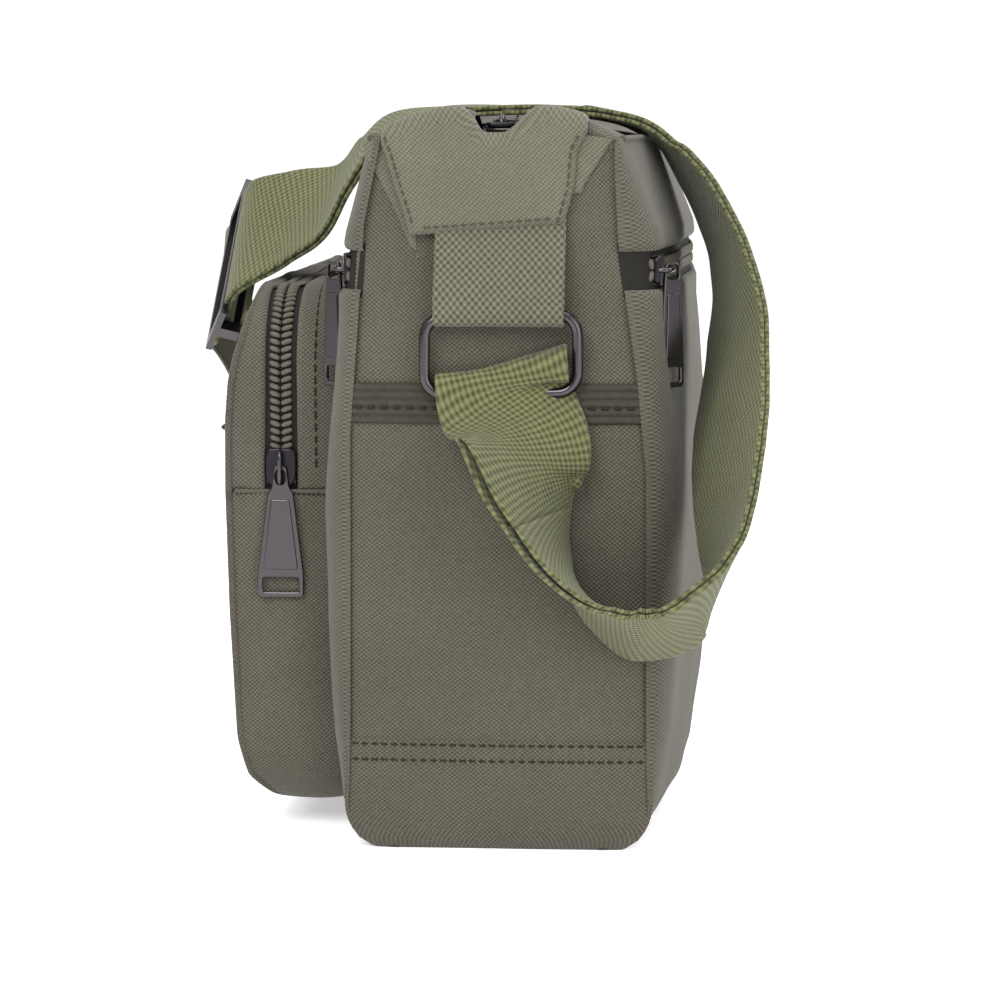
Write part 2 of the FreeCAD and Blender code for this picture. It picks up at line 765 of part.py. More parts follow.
def ring_loop(label, side):
    """Folded webbing sewn under the end flap, with the ring's upper bar in its fold."""
    reach = wire / 2 + bar_clearance + webbing
    fold = reach * 0.42
    top = dim("loop_top")
    inner = ring_x - reach
    outer = ring_x + reach
    points = [
        (end_x * side, top),
        ((end_x + 3.4) * side, top),
        (outer * side, pivot_z + fold),
        (outer * side, pivot_z - fold),
        ((ring_x + fold) * side, pivot_z - reach),
        ((ring_x - fold) * side, pivot_z - reach),
        (inner * side, pivot_z - fold),
        (inner * side, top - 6),
        (end_x * side, top - 3),
    ]
    body = padded(label, "XZ_Plane", 0, [points], dim("loop_width"), symmetric=True)
    bore = sketch_on(body, f"{label}_bore", "XZ_Plane")
    add_circle(bore, ring_x * side, pivot_z, wire / 2 + bar_clearance)
    cut = body.newObject("PartDesign::Pocket", f"{label}_bore_cut")
    cut.Profile = bore
    cut.SideType = "Symmetric"
    bind(cut, "Length", dim("loop_width") + 4)
    body.Tip = cut


def strap_turn(label, side):
    """The strap's webbing where it is turned over a ring's lower bar."""
    hole = wire / 2 + bar_clearance
    reach = hole + webbing
    fold = reach * 0.42
    foot = lower_bar_z - 8
    points = [
        ((ring_x - reach) * side, foot),
        ((ring_x - reach) * side, lower_bar_z + fold),
        ((ring_x - fold) * side, lower_bar_z + reach),
        ((ring_x + fold) * side, lower_bar_z + reach),
        ((ring_x + reach) * side, lower_bar_z + fold),
        ((ring_x + reach) * side, foot),
        ((ring_x + hole) * side, foot),
        ((ring_x + hole) * side, lower_bar_z),
        ((ring_x + hole * 0.5) * side, lower_bar_z + hole * 1.02),
        ((ring_x - hole * 0.5) * side, lower_bar_z + hole * 1.02),
        ((ring_x - hole) * side, lower_bar_z),
        ((ring_x - hole) * side, foot),
    ]
    body = padded(label, "XZ_Plane", 0, [points], dim("loop_width"), symmetric=True)
    bore = sketch_on(body, f"{label}_bore", "XZ_Plane")
    add_circle(bore, ring_x * side, lower_bar_z, hole)
    cut = body.newObject("PartDesign::Pocket", f"{label}_bore_cut")
    cut.Profile = bore
    cut.SideType = "Symmetric"
    bind(cut, "Length", dim("loop_width") + 4)
    body.Tip = cut


for end_name, side in (("near", 1), ("far", -1)):
    strap_ring(f"strap_ring_{end_name}", side)
    ring_loop(f"ring_loop_{end_name}", side)
    strap_turn(f"strap_turn_{end_name}", side)

# ---- the webbing strap ----------------------------------------------------------------------
# A station is the middle of the webbing and the direction from its near edge to its far edge.
# The doubled run leaves the near ring, swings up behind the bag, crosses its top and comes
# down in front to the adjuster. The single run goes on from there to the far ring.

ADJUSTER = V(28, -82.5, 149.5)
ADJUSTER_ALONG = V(-0.79, -0.32, -0.52)
ADJUSTER_ACROSS = V(-0.56, 0.09, 0.82)
ENTRY = ADJUSTER - ADJUSTER_ALONG * 20
EXIT = ADJUSTER + ADJUSTER_ALONG * 8

DOUBLED_RUN = [
    (V(137, 7, 110), V(-18, 31, 2)),
    (V(142, 9, 102), V(-30, 23, -2)),
    (V(144, 12, 91), V(-34, 15, -8)),
    (V(144, 18, 77), V(-34, 9, -13)),
    (V(143, 27, 66), V(-33, 6, -18)),
    (V(143, 36, 61), V(-33, 4, -18)),
    (V(143, 45, 62), V(-34, 1, -17)),
    (V(143, 51.4, 66.5), V(-34, 0, -17)),
    (V(140.9, 55.5, 71), V(-34, -3, -16)),
    (V(136.7, 58.5, 77.6), V(-34, -7, -14)),
    (V(131, 59.5, 87.5), V(-33, -12, -11)),
    (V(123.1, 59.8, 98.7), V(-33, -15, -8)),
    (V(115.1, 60, 108.4), V(-33, -16, -6)),
    (V(107.1, 60.2, 117.8), V(-33, -15, -5)),
    (V(96.4, 61, 131.3), V(-34, -13, -4)),
    (V(87.9, 60.2, 142.2), V(-35, -11, -3)),
    (V(80.5, 58.8, 153.4), V(-35, -8, -1)),
    (V(75.5, 55.8, 162.5), V(-35, -8, 0)),
    (V(69.5, 51, 171.6), V(-36, -8, 1)),
    (V(65.4, 46, 179), V(-36, -7, 1)),
    (V(63.5, 39.5, 187), V(-36, -6, 1)),
    (V(62, 29, 192), V(-37, -5, 0)),
    (V(61, 14, 194.2), V(-37, -4, 0)),
    (V(60, -4, 194.4), V(-37, -4, 0)),
    (V(59, -22, 193.4), V(-37, -3, 1)),
    (V(59, -36, 189.6), V(-37, -2, 5)),
    (V(58, -44, 180.4), V(-35, 1, 13)),
    (V(51, -53, 168.5), V(-31, 3.5, 20)),
    (V(47.5, -64, 164.5), V(-27, 3, 25)),
    (ENTRY, ADJUSTER_ACROSS),
    (EXIT, ADJUSTER_ACROSS),
]
SINGLE_RUN = [
    (EXIT, ADJUSTER_ACROSS),
    (V(-4, -92, 141), V(-20, 1, 31)),
    (V(-28, -92, 131), V(-19, 0, 33)),
    (V(-55, -91, 116), V(-19, 0, 33)),
    (V(-85, -88, 98), V(-20, 0, 32)),
    (V(-110, -83, 80), V(-22, -2, 31)),
    (V(-132, -72, 65), V(-27, -7, 25)),
    (V(-146, -54, 56), V(-33, -11, 14)),
    (V(-152, -34, 53), V(-36, -10, 3)),
    (V(-151, -16, 60), V(-33, -18, 0)),
    (V(-145, -6, 75), V(-25, -29, 0)),
    (V(-139, -2, 93), V(-16, -34, 0)),
    (V(-135, 0, 107), V(-8, -37, 0)),
]


def ribbon(label, stations, offset):
    """A flat ribbon through the stations, moved along its own normal by offset."""
    half = number(dim("webbing_width")) / 2
    thick = number(webbing) / 2
    sections = []
    for i, (middle, across) in enumerate(stations):
        before = stations[max(i - 1, 0)][0]
        after = stations[min(i + 1, len(stations) - 1)][0]
        along = (after - before).normalize()
        if middle in (ENTRY, EXIT):
            along = V(*ADJUSTER_ALONG).normalize()
        wide = V(*across)
        wide = (wide - along * wide.dot(along)).normalize()
        normal = along.cross(wide)
        centre = middle + normal * offset
        corners = [
            centre + wide * (half * a) + normal * (thick * b)
            for a, b in ((-1, -1), (1, -1), (1, 1), (-1, 1))
        ]
        sections.append(Part.makePolygon(corners + corners[:1]))
    feature = doc.addObject("Part::Feature", label)
    feature.Shape = Part.makeLoft(sections, True, True)
    feature.Placement = FreeCAD.Placement()
    return keep(feature, label)


layer_offset = number(webbing + dim("layer_gap")) / 2
ribbon("strap_outer_layer", DOUBLED_RUN, -layer_offset)
ribbon("strap_inner_layer", DOUBLED_RUN, layer_offset)
ribbon("strap_far_run", SINGLE_RUN, layer_offset)


def length_of(stations):
    return sum((b[0] - a[0]).Length for a, b in zip(stations, stations[1:]))


# ---- the adjuster and the strap's sewn end ---------------------------------------------------
# Local frame: x along the webbing, y across it, z towards the bag.

adjuster_x = V(*ADJUSTER_ALONG).normalize()
adjuster_y = (ADJUSTER_ACROSS - adjuster_x * ADJUSTER_ACROSS.dot(adjuster_x)).normalize()
adjuster_frame = FreeCAD.Rotation(adjuster_x, adjuster_y, adjuster_x.cross(adjuster_y), "XYZ")


def adjuster():
    """Three-bar adjuster: its end bars lie over the webbing and its middle bar under it."""
    body = body_named("strap_adjuster")
    inner = dim("webbing_width") / 2 + 0.8
    outer = inner + 3
    over = -(webbing + dim("layer_gap") + 0.3)
    plate = sketch_on(body, "adjuster_outline", "XY_Plane", over - 1.8)
    add_loop(plate, [(-11, -outer), (11, -outer), (11, outer), (-11, outer)])
    add_loop(plate, [(-8, -inner), (8, -inner), (8, inner), (-8, inner)])
    pad(body, plate, "adjuster_pad", 1.8)
    for name, side in (("low", -1), ("high", 1)):
        post = sketch_on(body, f"adjuster_post_{name}", "XY_Plane", over - 0.1)
        add_loop(
            post,
            [
                (-2.5, inner * side),
                (2.5, inner * side),
                (2.5, outer * side),
                (-2.5, outer * side),
            ],
        )
        pad(body, post, f"adjuster_post_{name}_pad", 5.7)
    bar = sketch_on(body, "adjuster_bar", "XY_Plane", -over)
    add_loop(bar, [(-1.5, -outer), (1.5, -outer), (1.5, outer), (-1.5, outer)])
    pad(body, bar, "adjuster_bar_pad", 1.6)
    body.Placement = FreeCAD.Placement(ADJUSTER, adjuster_frame)


def sewn_end():
    """The strap's end, folded round the middle bar and sewn."""
    under = webbing + dim("layer_gap") + 0.3
    far = under + 1.8 + webbing
    points = [
        (-9, under + 1.8),
        (1.8, under + 1.8),
        (1.8, under + 0.1),
        (3.2, under + 0.1),
        (3.2, far),
        (-9, far),
    ]
    width = dim("webbing_width")
    body = padded("strap_sewn_end", "XZ_Plane", 0, [points], width, symmetric=True)
    body.Placement = FreeCAD.Placement(ADJUSTER, adjuster_frame)


adjuster()
sewn_end()

# ---- check and write -------------------------------------------------------------------------

doc.recompute()
failed = [f"{o.Label}: {o.State}" for o in doc.Objects if {"Invalid", "Error"} & set(o.State)]
for node in nodes:
    if node.Shape.isNull() or not node.Shape.isValid() or not node.Shape.Solids:
        failed.append(f"{node.Label}: shape is null, invalid or not solid")
if failed:
    raise RuntimeError("; ".join(failed))

os.makedirs("parts", exist_ok=True)
for node in nodes:
    node.Shape.exportStep(f"parts/{node.Label}.step")
    solids = len(node.Shape.Solids)
    print(f"{node.Label}: {node.Shape.Volume:.0f} mm3, {solids} solid(s)")
print(f"{len(nodes)} sub-parts")
print(f"doubled run {length_of(DOUBLED_RUN):.0f} mm, single run {length_of(SINGLE_RUN):.0f} mm")
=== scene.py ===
"""Looks of the canvas messenger bag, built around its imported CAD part. Lengths here are millimetres."""
import json
import math

import bpy
import numpy as np
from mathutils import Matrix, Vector


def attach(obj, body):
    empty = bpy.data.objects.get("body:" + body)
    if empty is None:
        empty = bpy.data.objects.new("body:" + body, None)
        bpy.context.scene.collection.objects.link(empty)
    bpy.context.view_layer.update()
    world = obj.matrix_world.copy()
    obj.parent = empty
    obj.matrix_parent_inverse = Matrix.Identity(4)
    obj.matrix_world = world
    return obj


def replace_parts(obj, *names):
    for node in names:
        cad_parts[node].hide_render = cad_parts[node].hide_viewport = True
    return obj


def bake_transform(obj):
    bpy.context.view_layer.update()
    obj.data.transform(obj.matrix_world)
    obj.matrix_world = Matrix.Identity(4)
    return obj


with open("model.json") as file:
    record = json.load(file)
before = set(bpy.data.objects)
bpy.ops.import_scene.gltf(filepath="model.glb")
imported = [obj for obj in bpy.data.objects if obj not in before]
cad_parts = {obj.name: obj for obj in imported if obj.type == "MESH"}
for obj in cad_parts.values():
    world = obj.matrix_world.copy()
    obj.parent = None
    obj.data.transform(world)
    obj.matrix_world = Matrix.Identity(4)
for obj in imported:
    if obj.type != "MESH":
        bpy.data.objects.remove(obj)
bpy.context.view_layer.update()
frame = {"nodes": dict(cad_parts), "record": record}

MM = 0.001
END = 122.0  # half of the bag's length
ENDS = ((1, "near"), (-1, "far"))
WALLS = ((-1, "front"), (1, "back"))


# ---- materials ------------------------------------------------------------------------------


def srgb(r, g, b):
    """A colour given as 0-255 values, as the linear value that shaders use."""

    def linear(c):
        c /= 255.0
        return c / 12.92 if c <= 0.04045 else ((c + 0.055) / 1.055) ** 2.4

    return (linear(r), linear(g), linear(b), 1.0)


class Nodes:
    """Short ways to add and join shader nodes."""

    def __init__(self, name):
        self.material = bpy.data.materials.new(name)
        self.material.use_nodes = True
        self.tree = self.material.node_tree
        self.shader = self.tree.nodes["Principled BSDF"]

    def add(self, kind, **settings):
        node = self.tree.nodes.new(kind)
        for key, value in settings.items():
            setattr(node, key, value)
        return node

    def link(self, source, target):
        self.tree.links.new(source, target)

    def value(self, socket, value):
        if isinstance(value, bpy.types.NodeSocket):
            self.link(value, socket)
        else:
            socket.default_value = value

    def math(self, operation, a, b=0.0, clamp=False):
        node = self.add("ShaderNodeMath", operation=operation, use_clamp=clamp)
        self.value(node.inputs[0], a)
        self.value(node.inputs[1], b)
        return node.outputs[0]

    def noise(self, vector, scale, detail=2.0, rough=0.5):
        node = self.add("ShaderNodeTexNoise")
        self.link(vector, node.inputs["Vector"])
        node.inputs["Scale"].default_value = scale
        node.inputs["Detail"].default_value = detail
        node.inputs["Roughness"].default_value = rough
        return node.outputs["Fac"]

    def uv(self):
        return self.add("ShaderNodeUVMap", uv_map="UVMap").outputs[0]

    def place(self):
        return self.add("ShaderNodeTexCoord").outputs["Object"]

    def bump(self, height, strength, distance):
        node = self.add("ShaderNodeBump")
        node.inputs["Strength"].default_value = strength
        node.inputs["Distance"].default_value = distance
        self.link(height, node.inputs["Height"])
        self.link(node.outputs[0], self.shader.inputs["Normal"])


def woven(name, dark, light, pitch, aspect=1.0, diagonal=False, relief=0.35, wobble=0.35):
    """Plain or diagonal weave: bumps on a staggered lattice with dark gaps between."""
    n = Nodes(name)
    uv = n.uv()
    place = n.place()
    split = n.add("ShaderNodeSeparateXYZ")
    n.link(uv, split.inputs[0])
    u, v = split.outputs[0], split.outputs[1]
    drift_u = n.math("MULTIPLY", n.math("SUBTRACT", n.noise(place, 260.0, 1.0), 0.5), wobble * pitch)
    drift_v = n.math("MULTIPLY", n.math("SUBTRACT", n.noise(place, 231.0, 1.0), 0.5), wobble * pitch)
    u = n.math("ADD", u, drift_u)
    v = n.math("ADD", v, drift_v)
    if diagonal:
        a = n.math("ADD", n.math("MULTIPLY", u, 0.86), n.math("MULTIPLY", v, 0.5))
        b = n.math("SUBTRACT", n.math("MULTIPLY", v, 0.86), n.math("MULTIPLY", u, 0.5))
        u, v = a, b
    wave_u = n.math("COSINE", n.math("MULTIPLY", u, 2 * math.pi / pitch))
    wave_v = n.math("COSINE", n.math("MULTIPLY", v, 2 * math.pi / (pitch * aspect)))
    lattice = n.math("MULTIPLY", wave_u, wave_v)
    fine = n.noise(place, 900.0, 2.0, 0.6)
    height = n.math("ADD", n.math("MULTIPLY", lattice, 0.5), 0.5)
    shade = n.math("ADD", n.math("MULTIPLY", height, 0.75), n.math("MULTIPLY", fine, 0.35), clamp=True)
    ramp = n.add("ShaderNodeValToRGB")
    ramp.color_ramp.elements[0].position = 0.22
    ramp.color_ramp.elements[1].position = 0.85
    ramp.color_ramp.elements[0].color = dark
    ramp.color_ramp.elements[1].color = light
    n.link(shade, ramp.inputs[0])
    patchy = n.noise(place, 28.0, 3.0, 0.6)
    toned = n.add("ShaderNodeHueSaturation")
    n.link(ramp.outputs[0], toned.inputs["Color"])
    n.link(n.math("ADD", n.math("MULTIPLY", patchy, 0.36), 0.82), toned.inputs["Value"])
    n.link(toned.outputs[0], n.shader.inputs["Base Color"])
    n.shader.inputs["Roughness"].default_value = 0.92
    n.shader.inputs["Specular IOR Level"].default_value = 0.15
    n.shader.inputs["Sheen Weight"].default_value = 0.12
    n.shader.inputs["Sheen Roughness"].default_value = 0.5
    n.bump(n.math("ADD", height, n.math("MULTIPLY", fine, 0.25)), 0.9, relief * MM)
    return n.material


def metal(name, colour, roughness):
    n = Nodes(name)
    n.shader.inputs["Base Color"].default_value = colour
    n.shader.inputs["Metallic"].default_value = 0.9
    n.shader.inputs["Roughness"].default_value = roughness
    return n.material


def plain(name, colour, roughness=0.9):
    n = Nodes(name)
    place = n.place()
    speck = n.noise(place, 600.0, 2.0, 0.6)
    toned = n.add("ShaderNodeHueSaturation")
    toned.inputs["Color"].default_value = colour
    n.link(n.math("ADD", n.math("MULTIPLY", speck, 0.6), 0.7), toned.inputs["Value"])
    n.link(toned.outputs[0], n.shader.inputs["Base Color"])
    n.shader.inputs["Roughness"].default_value = roughness
    n.shader.inputs["Specular IOR Level"].default_value = 0.2
    n.bump(speck, 0.4, 0.2 * MM)
    return n.material


CANVAS = woven("canvas", srgb(54, 51, 44), srgb(91, 87, 76), 1.3, 0.86, relief=0.22)
FLAP = woven("flap_canvas", srgb(75, 72, 62), srgb(104, 101, 87), 1.3, 0.86, relief=0.22)
BAND = plain("band", srgb(56, 53, 45))
STITCH = plain("stitch_thread", srgb(38, 36, 30))
FLAP_STITCH = plain("flap_thread", srgb(66, 63, 53))
WEBBING = woven(
    "webbing", srgb(56, 57, 36), srgb(103, 105, 72), 1.9, 1.2, diagonal=True, relief=0.3, wobble=0.15
)
LOOP = woven("loop_webbing", srgb(59, 57, 47), srgb(107, 104, 89), 2.1, 0.9, relief=0.35, wobble=0.15)
TAPE = plain("zip_tape", srgb(30, 29, 26))
COIL = plain("zip_coil", srgb(80, 76, 66), 0.55)
GUNMETAL = metal("gunmetal", srgb(72, 68, 71), 0.2)
DARK_METAL = metal("dark_metal", srgb(40, 38, 42), 0.3)
LINING = plain("lining", srgb(86, 84, 70))
PATCH = plain("patch", srgb(40, 38, 33))

SLOT_MATERIAL = {
    "canvas": CANVAS,
    "flap_canvas": FLAP,
    "ribbed_band": BAND,
    "lining": LINING,
    "patch": PATCH,
    "zipper_tape": TAPE,
    "slider_metal": DARK_METAL,
    "pull_metal": GUNMETAL,
    "ring_metal": GUNMETAL,
    "webbing": WEBBING,
}
for entry in frame["record"]["subparts"]:
    mesh = frame["nodes"][entry["node"]].data
    mesh.materials.clear()
    mesh.materials.append(SLOT_MATERIAL[entry["material_slot"]])


# ---- mesh helpers ---------------------------------------------------------------------------


def set_uv(mesh, uv):
    """Gives a mesh its UVs, one millimetre pair per point."""
    corner = np.empty(len(mesh.loops), dtype=np.int32)
    mesh.loops.foreach_get("vertex_index", corner)
    mesh.uv_layers["UVMap"].data.foreach_set("uv", np.asarray(uv, np.float32)[corner].ravel())


def add_mesh(name, points, faces, material, uv):
    """A mesh object from millimetre points; uv is one millimetre pair per point."""
    mesh = bpy.data.meshes.new(name)
    mesh.from_pydata((np.asarray(points, float) * MM).tolist(), [], faces)
    mesh.uv_layers.new(name="UVMap")
    set_uv(mesh, uv)
    for polygon in mesh.polygons:
        polygon.use_smooth = True
    mesh.materials.append(material)
    mesh.update()
    thing = bpy.data.objects.new(name, mesh)
    bpy.context.scene.collection.objects.link(thing)
    return thing


def grid_faces(rows, columns, start=0, flip=False, wrap=False):
    """Faces of a grid of points; with wrap its last column joins its first."""
    faces = []
    last = columns if wrap else columns - 1
    for i in range(rows - 1):
        for j in range(last):
            k = (j + 1) % columns
            a, b = start + i * columns + j, start + i * columns + k
            c, d = start + (i + 1) * columns + k, start + (i + 1) * columns + j
            faces.append((a, d, c, b) if flip else (a, b, c, d))
    return faces


def unit(vectors):
    """The same directions at length one."""
    return vectors / np.maximum(np.linalg.norm(vectors, axis=-1, keepdims=True), 1e-9)


def knots(length, step, edge=2.0):
    """Distances along an edge, close together near its ends."""
    near = edge * np.array([0.0, 0.04, 0.15, 0.35, 0.65, 1.0])
    count = max(2, int((length - 2 * edge) / step) + 1)
    return np.concatenate([near, np.linspace(edge, length - edge, count)[1:-1], length - near[::-1]])


def edge_knots(width, power, count):
    """Shares from -1 to 1, close together within width of both ends."""
    near = width * np.linspace(0, 1, 8) ** power
    return np.concatenate([near - 1, np.linspace(width - 1, 1 - width, count)[1:-1], 1 - near[::-1]])


def run_along(path):
    """Distance along a line of points, at each of them."""
    return np.concatenate([[0], np.cumsum(np.linalg.norm(np.diff(path, axis=0), axis=1))])


def normals(surface):
    """Unit normals of a grid of points."""
    return unit(np.cross(np.gradient(surface, axis=0), np.gradient(surface, axis=1)))


def rounded_lift(away, thick):
    """Height of a cloth's top above its base, rounded off towards an edge that is away from there."""
    t = np.clip(away / (thick * 1.1), 0, 1)
    return thick * np.sqrt(1 - (1 - t) ** 2)


def cloth_grid(name, surface, material, uv_across, uv_along, flip):
    """Cloth on the bag from a grid of points and the two grids of its UVs."""
    faces = grid_faces(*surface.shape[:2], flip=flip)
    uv = np.stack([uv_across, uv_along], -1).reshape(-1, 2)
    thing = add_mesh(name, surface.reshape(-1, 3), faces, material, uv)
    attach(thing, "bag")
    return thing


def slab(name, shape, us, vs, thick, material, flip=False, edges="", uv_scale=1.0):
    """A cloth panel that stands thick out of the surface shape(u, v), rounded at the named edges."""
    u, v = np.meshgrid(us, vs, indexing="ij")
    base = shape(u, v)
    normal = normals(base)
    if flip:
        normal = -normal
    away = np.full(u.shape, 1e3)
    for side, gap in (("l", u - us[0]), ("r", us[-1] - u), ("b", v - vs[0]), ("t", vs[-1] - v)):
        if side in edges:
            away = np.minimum(away, gap)
    top = base + normal * rounded_lift(away, thick)[..., None]
    return cloth_grid(name, top, material, u * uv_scale, v, flip)


def frames_along(path, closed=False):
    """Tangents and a smooth pair of side vectors along a line of points."""
    path = np.asarray(path, float)
    if closed:
        tangent = np.roll(path, -1, 0) - np.roll(path, 1, 0)
    else:
        tangent = np.gradient(path, axis=0)
    tangent = unit(tangent)
    side = np.empty_like(tangent)
    guess = np.array([0.0, 0.0, 1.0]) if abs(tangent[0][2]) < 0.9 else np.array([1.0, 0.0, 0.0])
    for i, t in enumerate(tangent):
        guess = guess - t * guess.dot(t)
        guess = guess / np.linalg.norm(guess)
        side[i] = guess
    return tangent, side, np.cross(tangent, side)


def tube(name, path, radius, material, body="bag", closed=False, around=10):
    """A round cord along a path."""
    path = np.asarray(path, float)
    tangent, side, other = frames_along(path, closed)
    angles = np.linspace(0, 2 * math.pi, around, endpoint=False)
    rings = (
        path[:, None]
        + side[:, None] * (np.cos(angles) * radius)[None, :, None]
        + other[:, None] * (np.sin(angles) * radius)[None, :, None]
    )
    points = rings.reshape(-1, 3)
    count = len(path)
    faces = grid_faces(count, around, wrap=True)
    if closed:
        for j in range(around):
            k = (j + 1) % around
            faces.append(((count - 1) * around + j, (count - 1) * around + k, k, j))
    else:
        faces.append(tuple(range(around - 1, -1, -1)))
        faces.append(tuple(range((count - 1) * around, count * around)))
    turn = np.arange(around) * 2 * radius * math.pi / around
    uv = np.stack([np.repeat(run_along(path), around), np.tile(turn, count)], -1)
    thing = add_mesh(name, points, faces, material, uv)
    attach(thing, body)
    return thing


def resample(path, step):
    """Points at even steps along a line."""
    path = np.asarray(path, float)
    run = run_along(path)
    count = max(2, int(round(run[-1] / step)) + 1)
    at = np.linspace(0, run[-1], count)
    return np.stack([np.interp(at, run, path[:, k]) for k in range(3)], -1)


def stitches(name, path, outwards, material=STITCH, pitch=3.0, length=2.1, radius=0.34):
    """A row of short stitches along a path; outwards is the cloth's normal."""
    points, faces = [], []
    line = resample(path, 0.5)
    run = run_along(line)
    outwards = unit(np.asarray(outwards, float))
    at = 0.5
    ring = 6
    while at + length < run[-1]:
        stations = []
        for f, lift in ((0.0, -0.6), (0.12, 0.35), (0.5, 0.6), (0.88, 0.35), (1.0, -0.6)):
            where = at + f * length
            centre = np.array([np.interp(where, run, line[:, k]) for k in range(3)])
            stations.append(centre + outwards * lift * radius)
        tangent = unit(stations[-1] - stations[0])
        side = np.cross(outwards, tangent)
        start = len(points)
        for centre in stations:
            for k in range(ring):
                a = 2 * math.pi * k / ring
                points.append(centre + side * math.cos(a) * radius + outwards * math.sin(a) * radius)
        faces += grid_faces(5, ring, start, wrap=True)
        at += pitch
    thing = add_mesh(name, points, faces, material, np.zeros((len(points), 2)))
    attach(thing, "bag")


# ---- shape of the stuffed body --------------------------------------------------------------

FOOT = 12.0  # radius of the rolled lower edges
FOOT_ARC = FOOT * math.pi / 2
CORNER = 11.0  # how far a wall's rolled end reaches in
SLIT_LOW, SLIT_HIGH = 148.0, 158.0
SHOULDER = 187.0


def smooth(a, b, x):
    """0 below a, 1 above b, with an even rise between them."""
    t = np.clip((x - a) / (b - a), 0, 1)
    return t * t * (3 - 2 * t)


def seam_half(side, z):
    """Half depth of an end where it meets the front (-1) or back (+1) wall."""
    z = np.asarray(z, float)
    if side < 0:
        return np.interp(z, [0, 110, 150, 165, 187], [40.9, 40.5, 37.6, 36.6, 32.0])
    return np.interp(z, [0, 100, 125, 158, 187], [40.0, 39.6, 37.2, 32.4, 30.6])


def wall_half(side, x, z):
    """Half depth of the stuffed wall away from its corners."""
    middle = 1 - (x / END) ** 2
    height = np.interp(z, [0, 12, 30, 60, 90, 112, 140, 158, 190], [-3.0, 0.0, 2.4, 4.4, 4.4, 3.4, 0.8, 0, 0])
    if side > 0:
        lean = np.interp(z, [0, 150, 162, 187], [0, 0, -0.5, -10.0])
        return 41.5 + 7.0 * middle + height + lean
    lean = np.interp(z, [0, 150, 162, 187], [0, 0, -1.5, -8.0])
    return 42.2 + 6.0 * middle + height * 0.8 + lean


def wall_point(side, x, v, inset=0.0):
    """Outer face of a wall: v runs up from the foot, and its first part is the turned corner."""
    angle = np.clip(v / FOOT, 0, math.pi / 2)
    z = np.where(v < FOOT_ARC, FOOT * (1 - np.cos(angle)), FOOT + v - FOOT_ARC)
    under = np.where(v < FOOT_ARC, -FOOT * (1 - np.sin(angle)), 0.0)
    t = np.clip((END - np.abs(x)) / CORNER, 0, 1)
    roll = np.sqrt(np.clip(1 - (1 - t) ** 2, 0, 1))
    half = seam_half(side, z) + (wall_half(side, x, z) - seam_half(side, z)) * roll + under - inset
    crease = 0.35 * np.sin(x * 0.09 + z * 0.05) + 0.3 * np.sin(x * 0.05 - z * 0.11)
    return np.stack([x, side * (half + crease * t * (v > FOOT_ARC)), z + inset * (under < 0)], -1)


def z_to_v(z):
    """The wall's v at a height above its turned corner."""
    return z - FOOT + FOOT_ARC


def along_bag(step=3.0):
    """Places along the length, close together at the rolled corners."""
    corner = CORNER * (1 - np.cos(np.linspace(0, math.pi / 2, 12)))
    inner = np.linspace(-END + CORNER, END - CORNER, int(2 * (END - CORNER) / step))
    return np.concatenate([-END + corner, inner[1:-1], END - corner[::-1]])


THICK = 1.6
TAPE_INSET = 1.9
xs = along_bag()


def wall_cloth(side, name, vs, edges="", thick=THICK, material=CANVAS, inset=THICK):
    """A length of cloth or tape that lies along a wall."""
    return slab(name, lambda x, v: wall_point(side, x, v, inset), xs, vs, thick, material, side > 0, edges)


for side, label in WALLS:
    lower = wall_cloth(side, f"{label}_wall", knots(z_to_v(SLIT_LOW), 3.0), "t")
    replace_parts(lower, f"{label}_panel")
    upper = wall_cloth(side, f"{label}_upper", z_to_v(SLIT_HIGH) + knots(SHOULDER - SLIT_HIGH, 2.5), "b")
    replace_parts(upper, f"{label}_yoke")
    tape_vs = np.linspace(z_to_v(SLIT_LOW) - 2, z_to_v(SLIT_HIGH) + 2, 8)
    wall_cloth(side, f"{label}_tape", tape_vs, "", 0.1, TAPE, TAPE_INSET)


def end_depth(z):
    """How far an end wall swells out of its plane at a height."""
    return np.interp(z, [0, 15, 60, 110, 150, 187], [0, 1.2, 2.2, 1.6, 0.6, 0])


def end_point(sign, u, z, lift=0.0):
    """A point on an end: u from -1 at the front seam to +1 at the back seam."""
    half = np.where(u < 0, seam_half(-1, z), seam_half(1, z))
    low = np.clip(z, 0, FOOT)
    half = half - FOOT + np.sqrt(np.clip(FOOT**2 - (FOOT - low) ** 2, 0, None))
    swell = end_depth(z) * (1 - u**4)
    tuck = 4.0 - np.sqrt(np.clip(16 - (4 - np.clip(z, 0, 4)) ** 2, 0, None))
    ripple = 0.25 * np.sin(u * 4 + z * 0.07) + 0.2 * np.sin(z * 0.13 - u * 2.0)
    edge = 0.7 * np.exp(-((1 - np.abs(u)) / 0.05))
    x = END + swell + lift - tuck + ripple * (1 - u**2) - edge
    return np.stack([sign * x, u * half, z], -1)


END_UV_HALF = 38.5
us = edge_knots(0.1, 1.5, 60)


def end_cloth(sign, name, z_low, z_high, lift, thick, edges, replaced):
    """A panel over an end between two heights."""
    heights = z_low + knots(z_high - z_low, 2.0, 1.2)
    surface = lambda u, z: end_point(sign, u, z, lift)
    piece = slab(name, surface, us, heights, thick, CANVAS, sign < 0, edges, END_UV_HALF)
    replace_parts(piece, *replaced)


for sign, label in ENDS:
    end_cloth(sign, f"end_{label}", 28.0, SHOULDER, -0.9, 0.9, "", [f"end_gusset_{label}"])
    end_cloth(sign, f"end_pocket_{label}", 28.0, 114.0, 0.0, 0.5, "", [f"side_pocket_{label}"])
    end_cloth(sign, f"end_boot_{label}", 0.0, 29.5, 0.2, 1.0, "t", ["bottom_panel"] if sign > 0 else [])

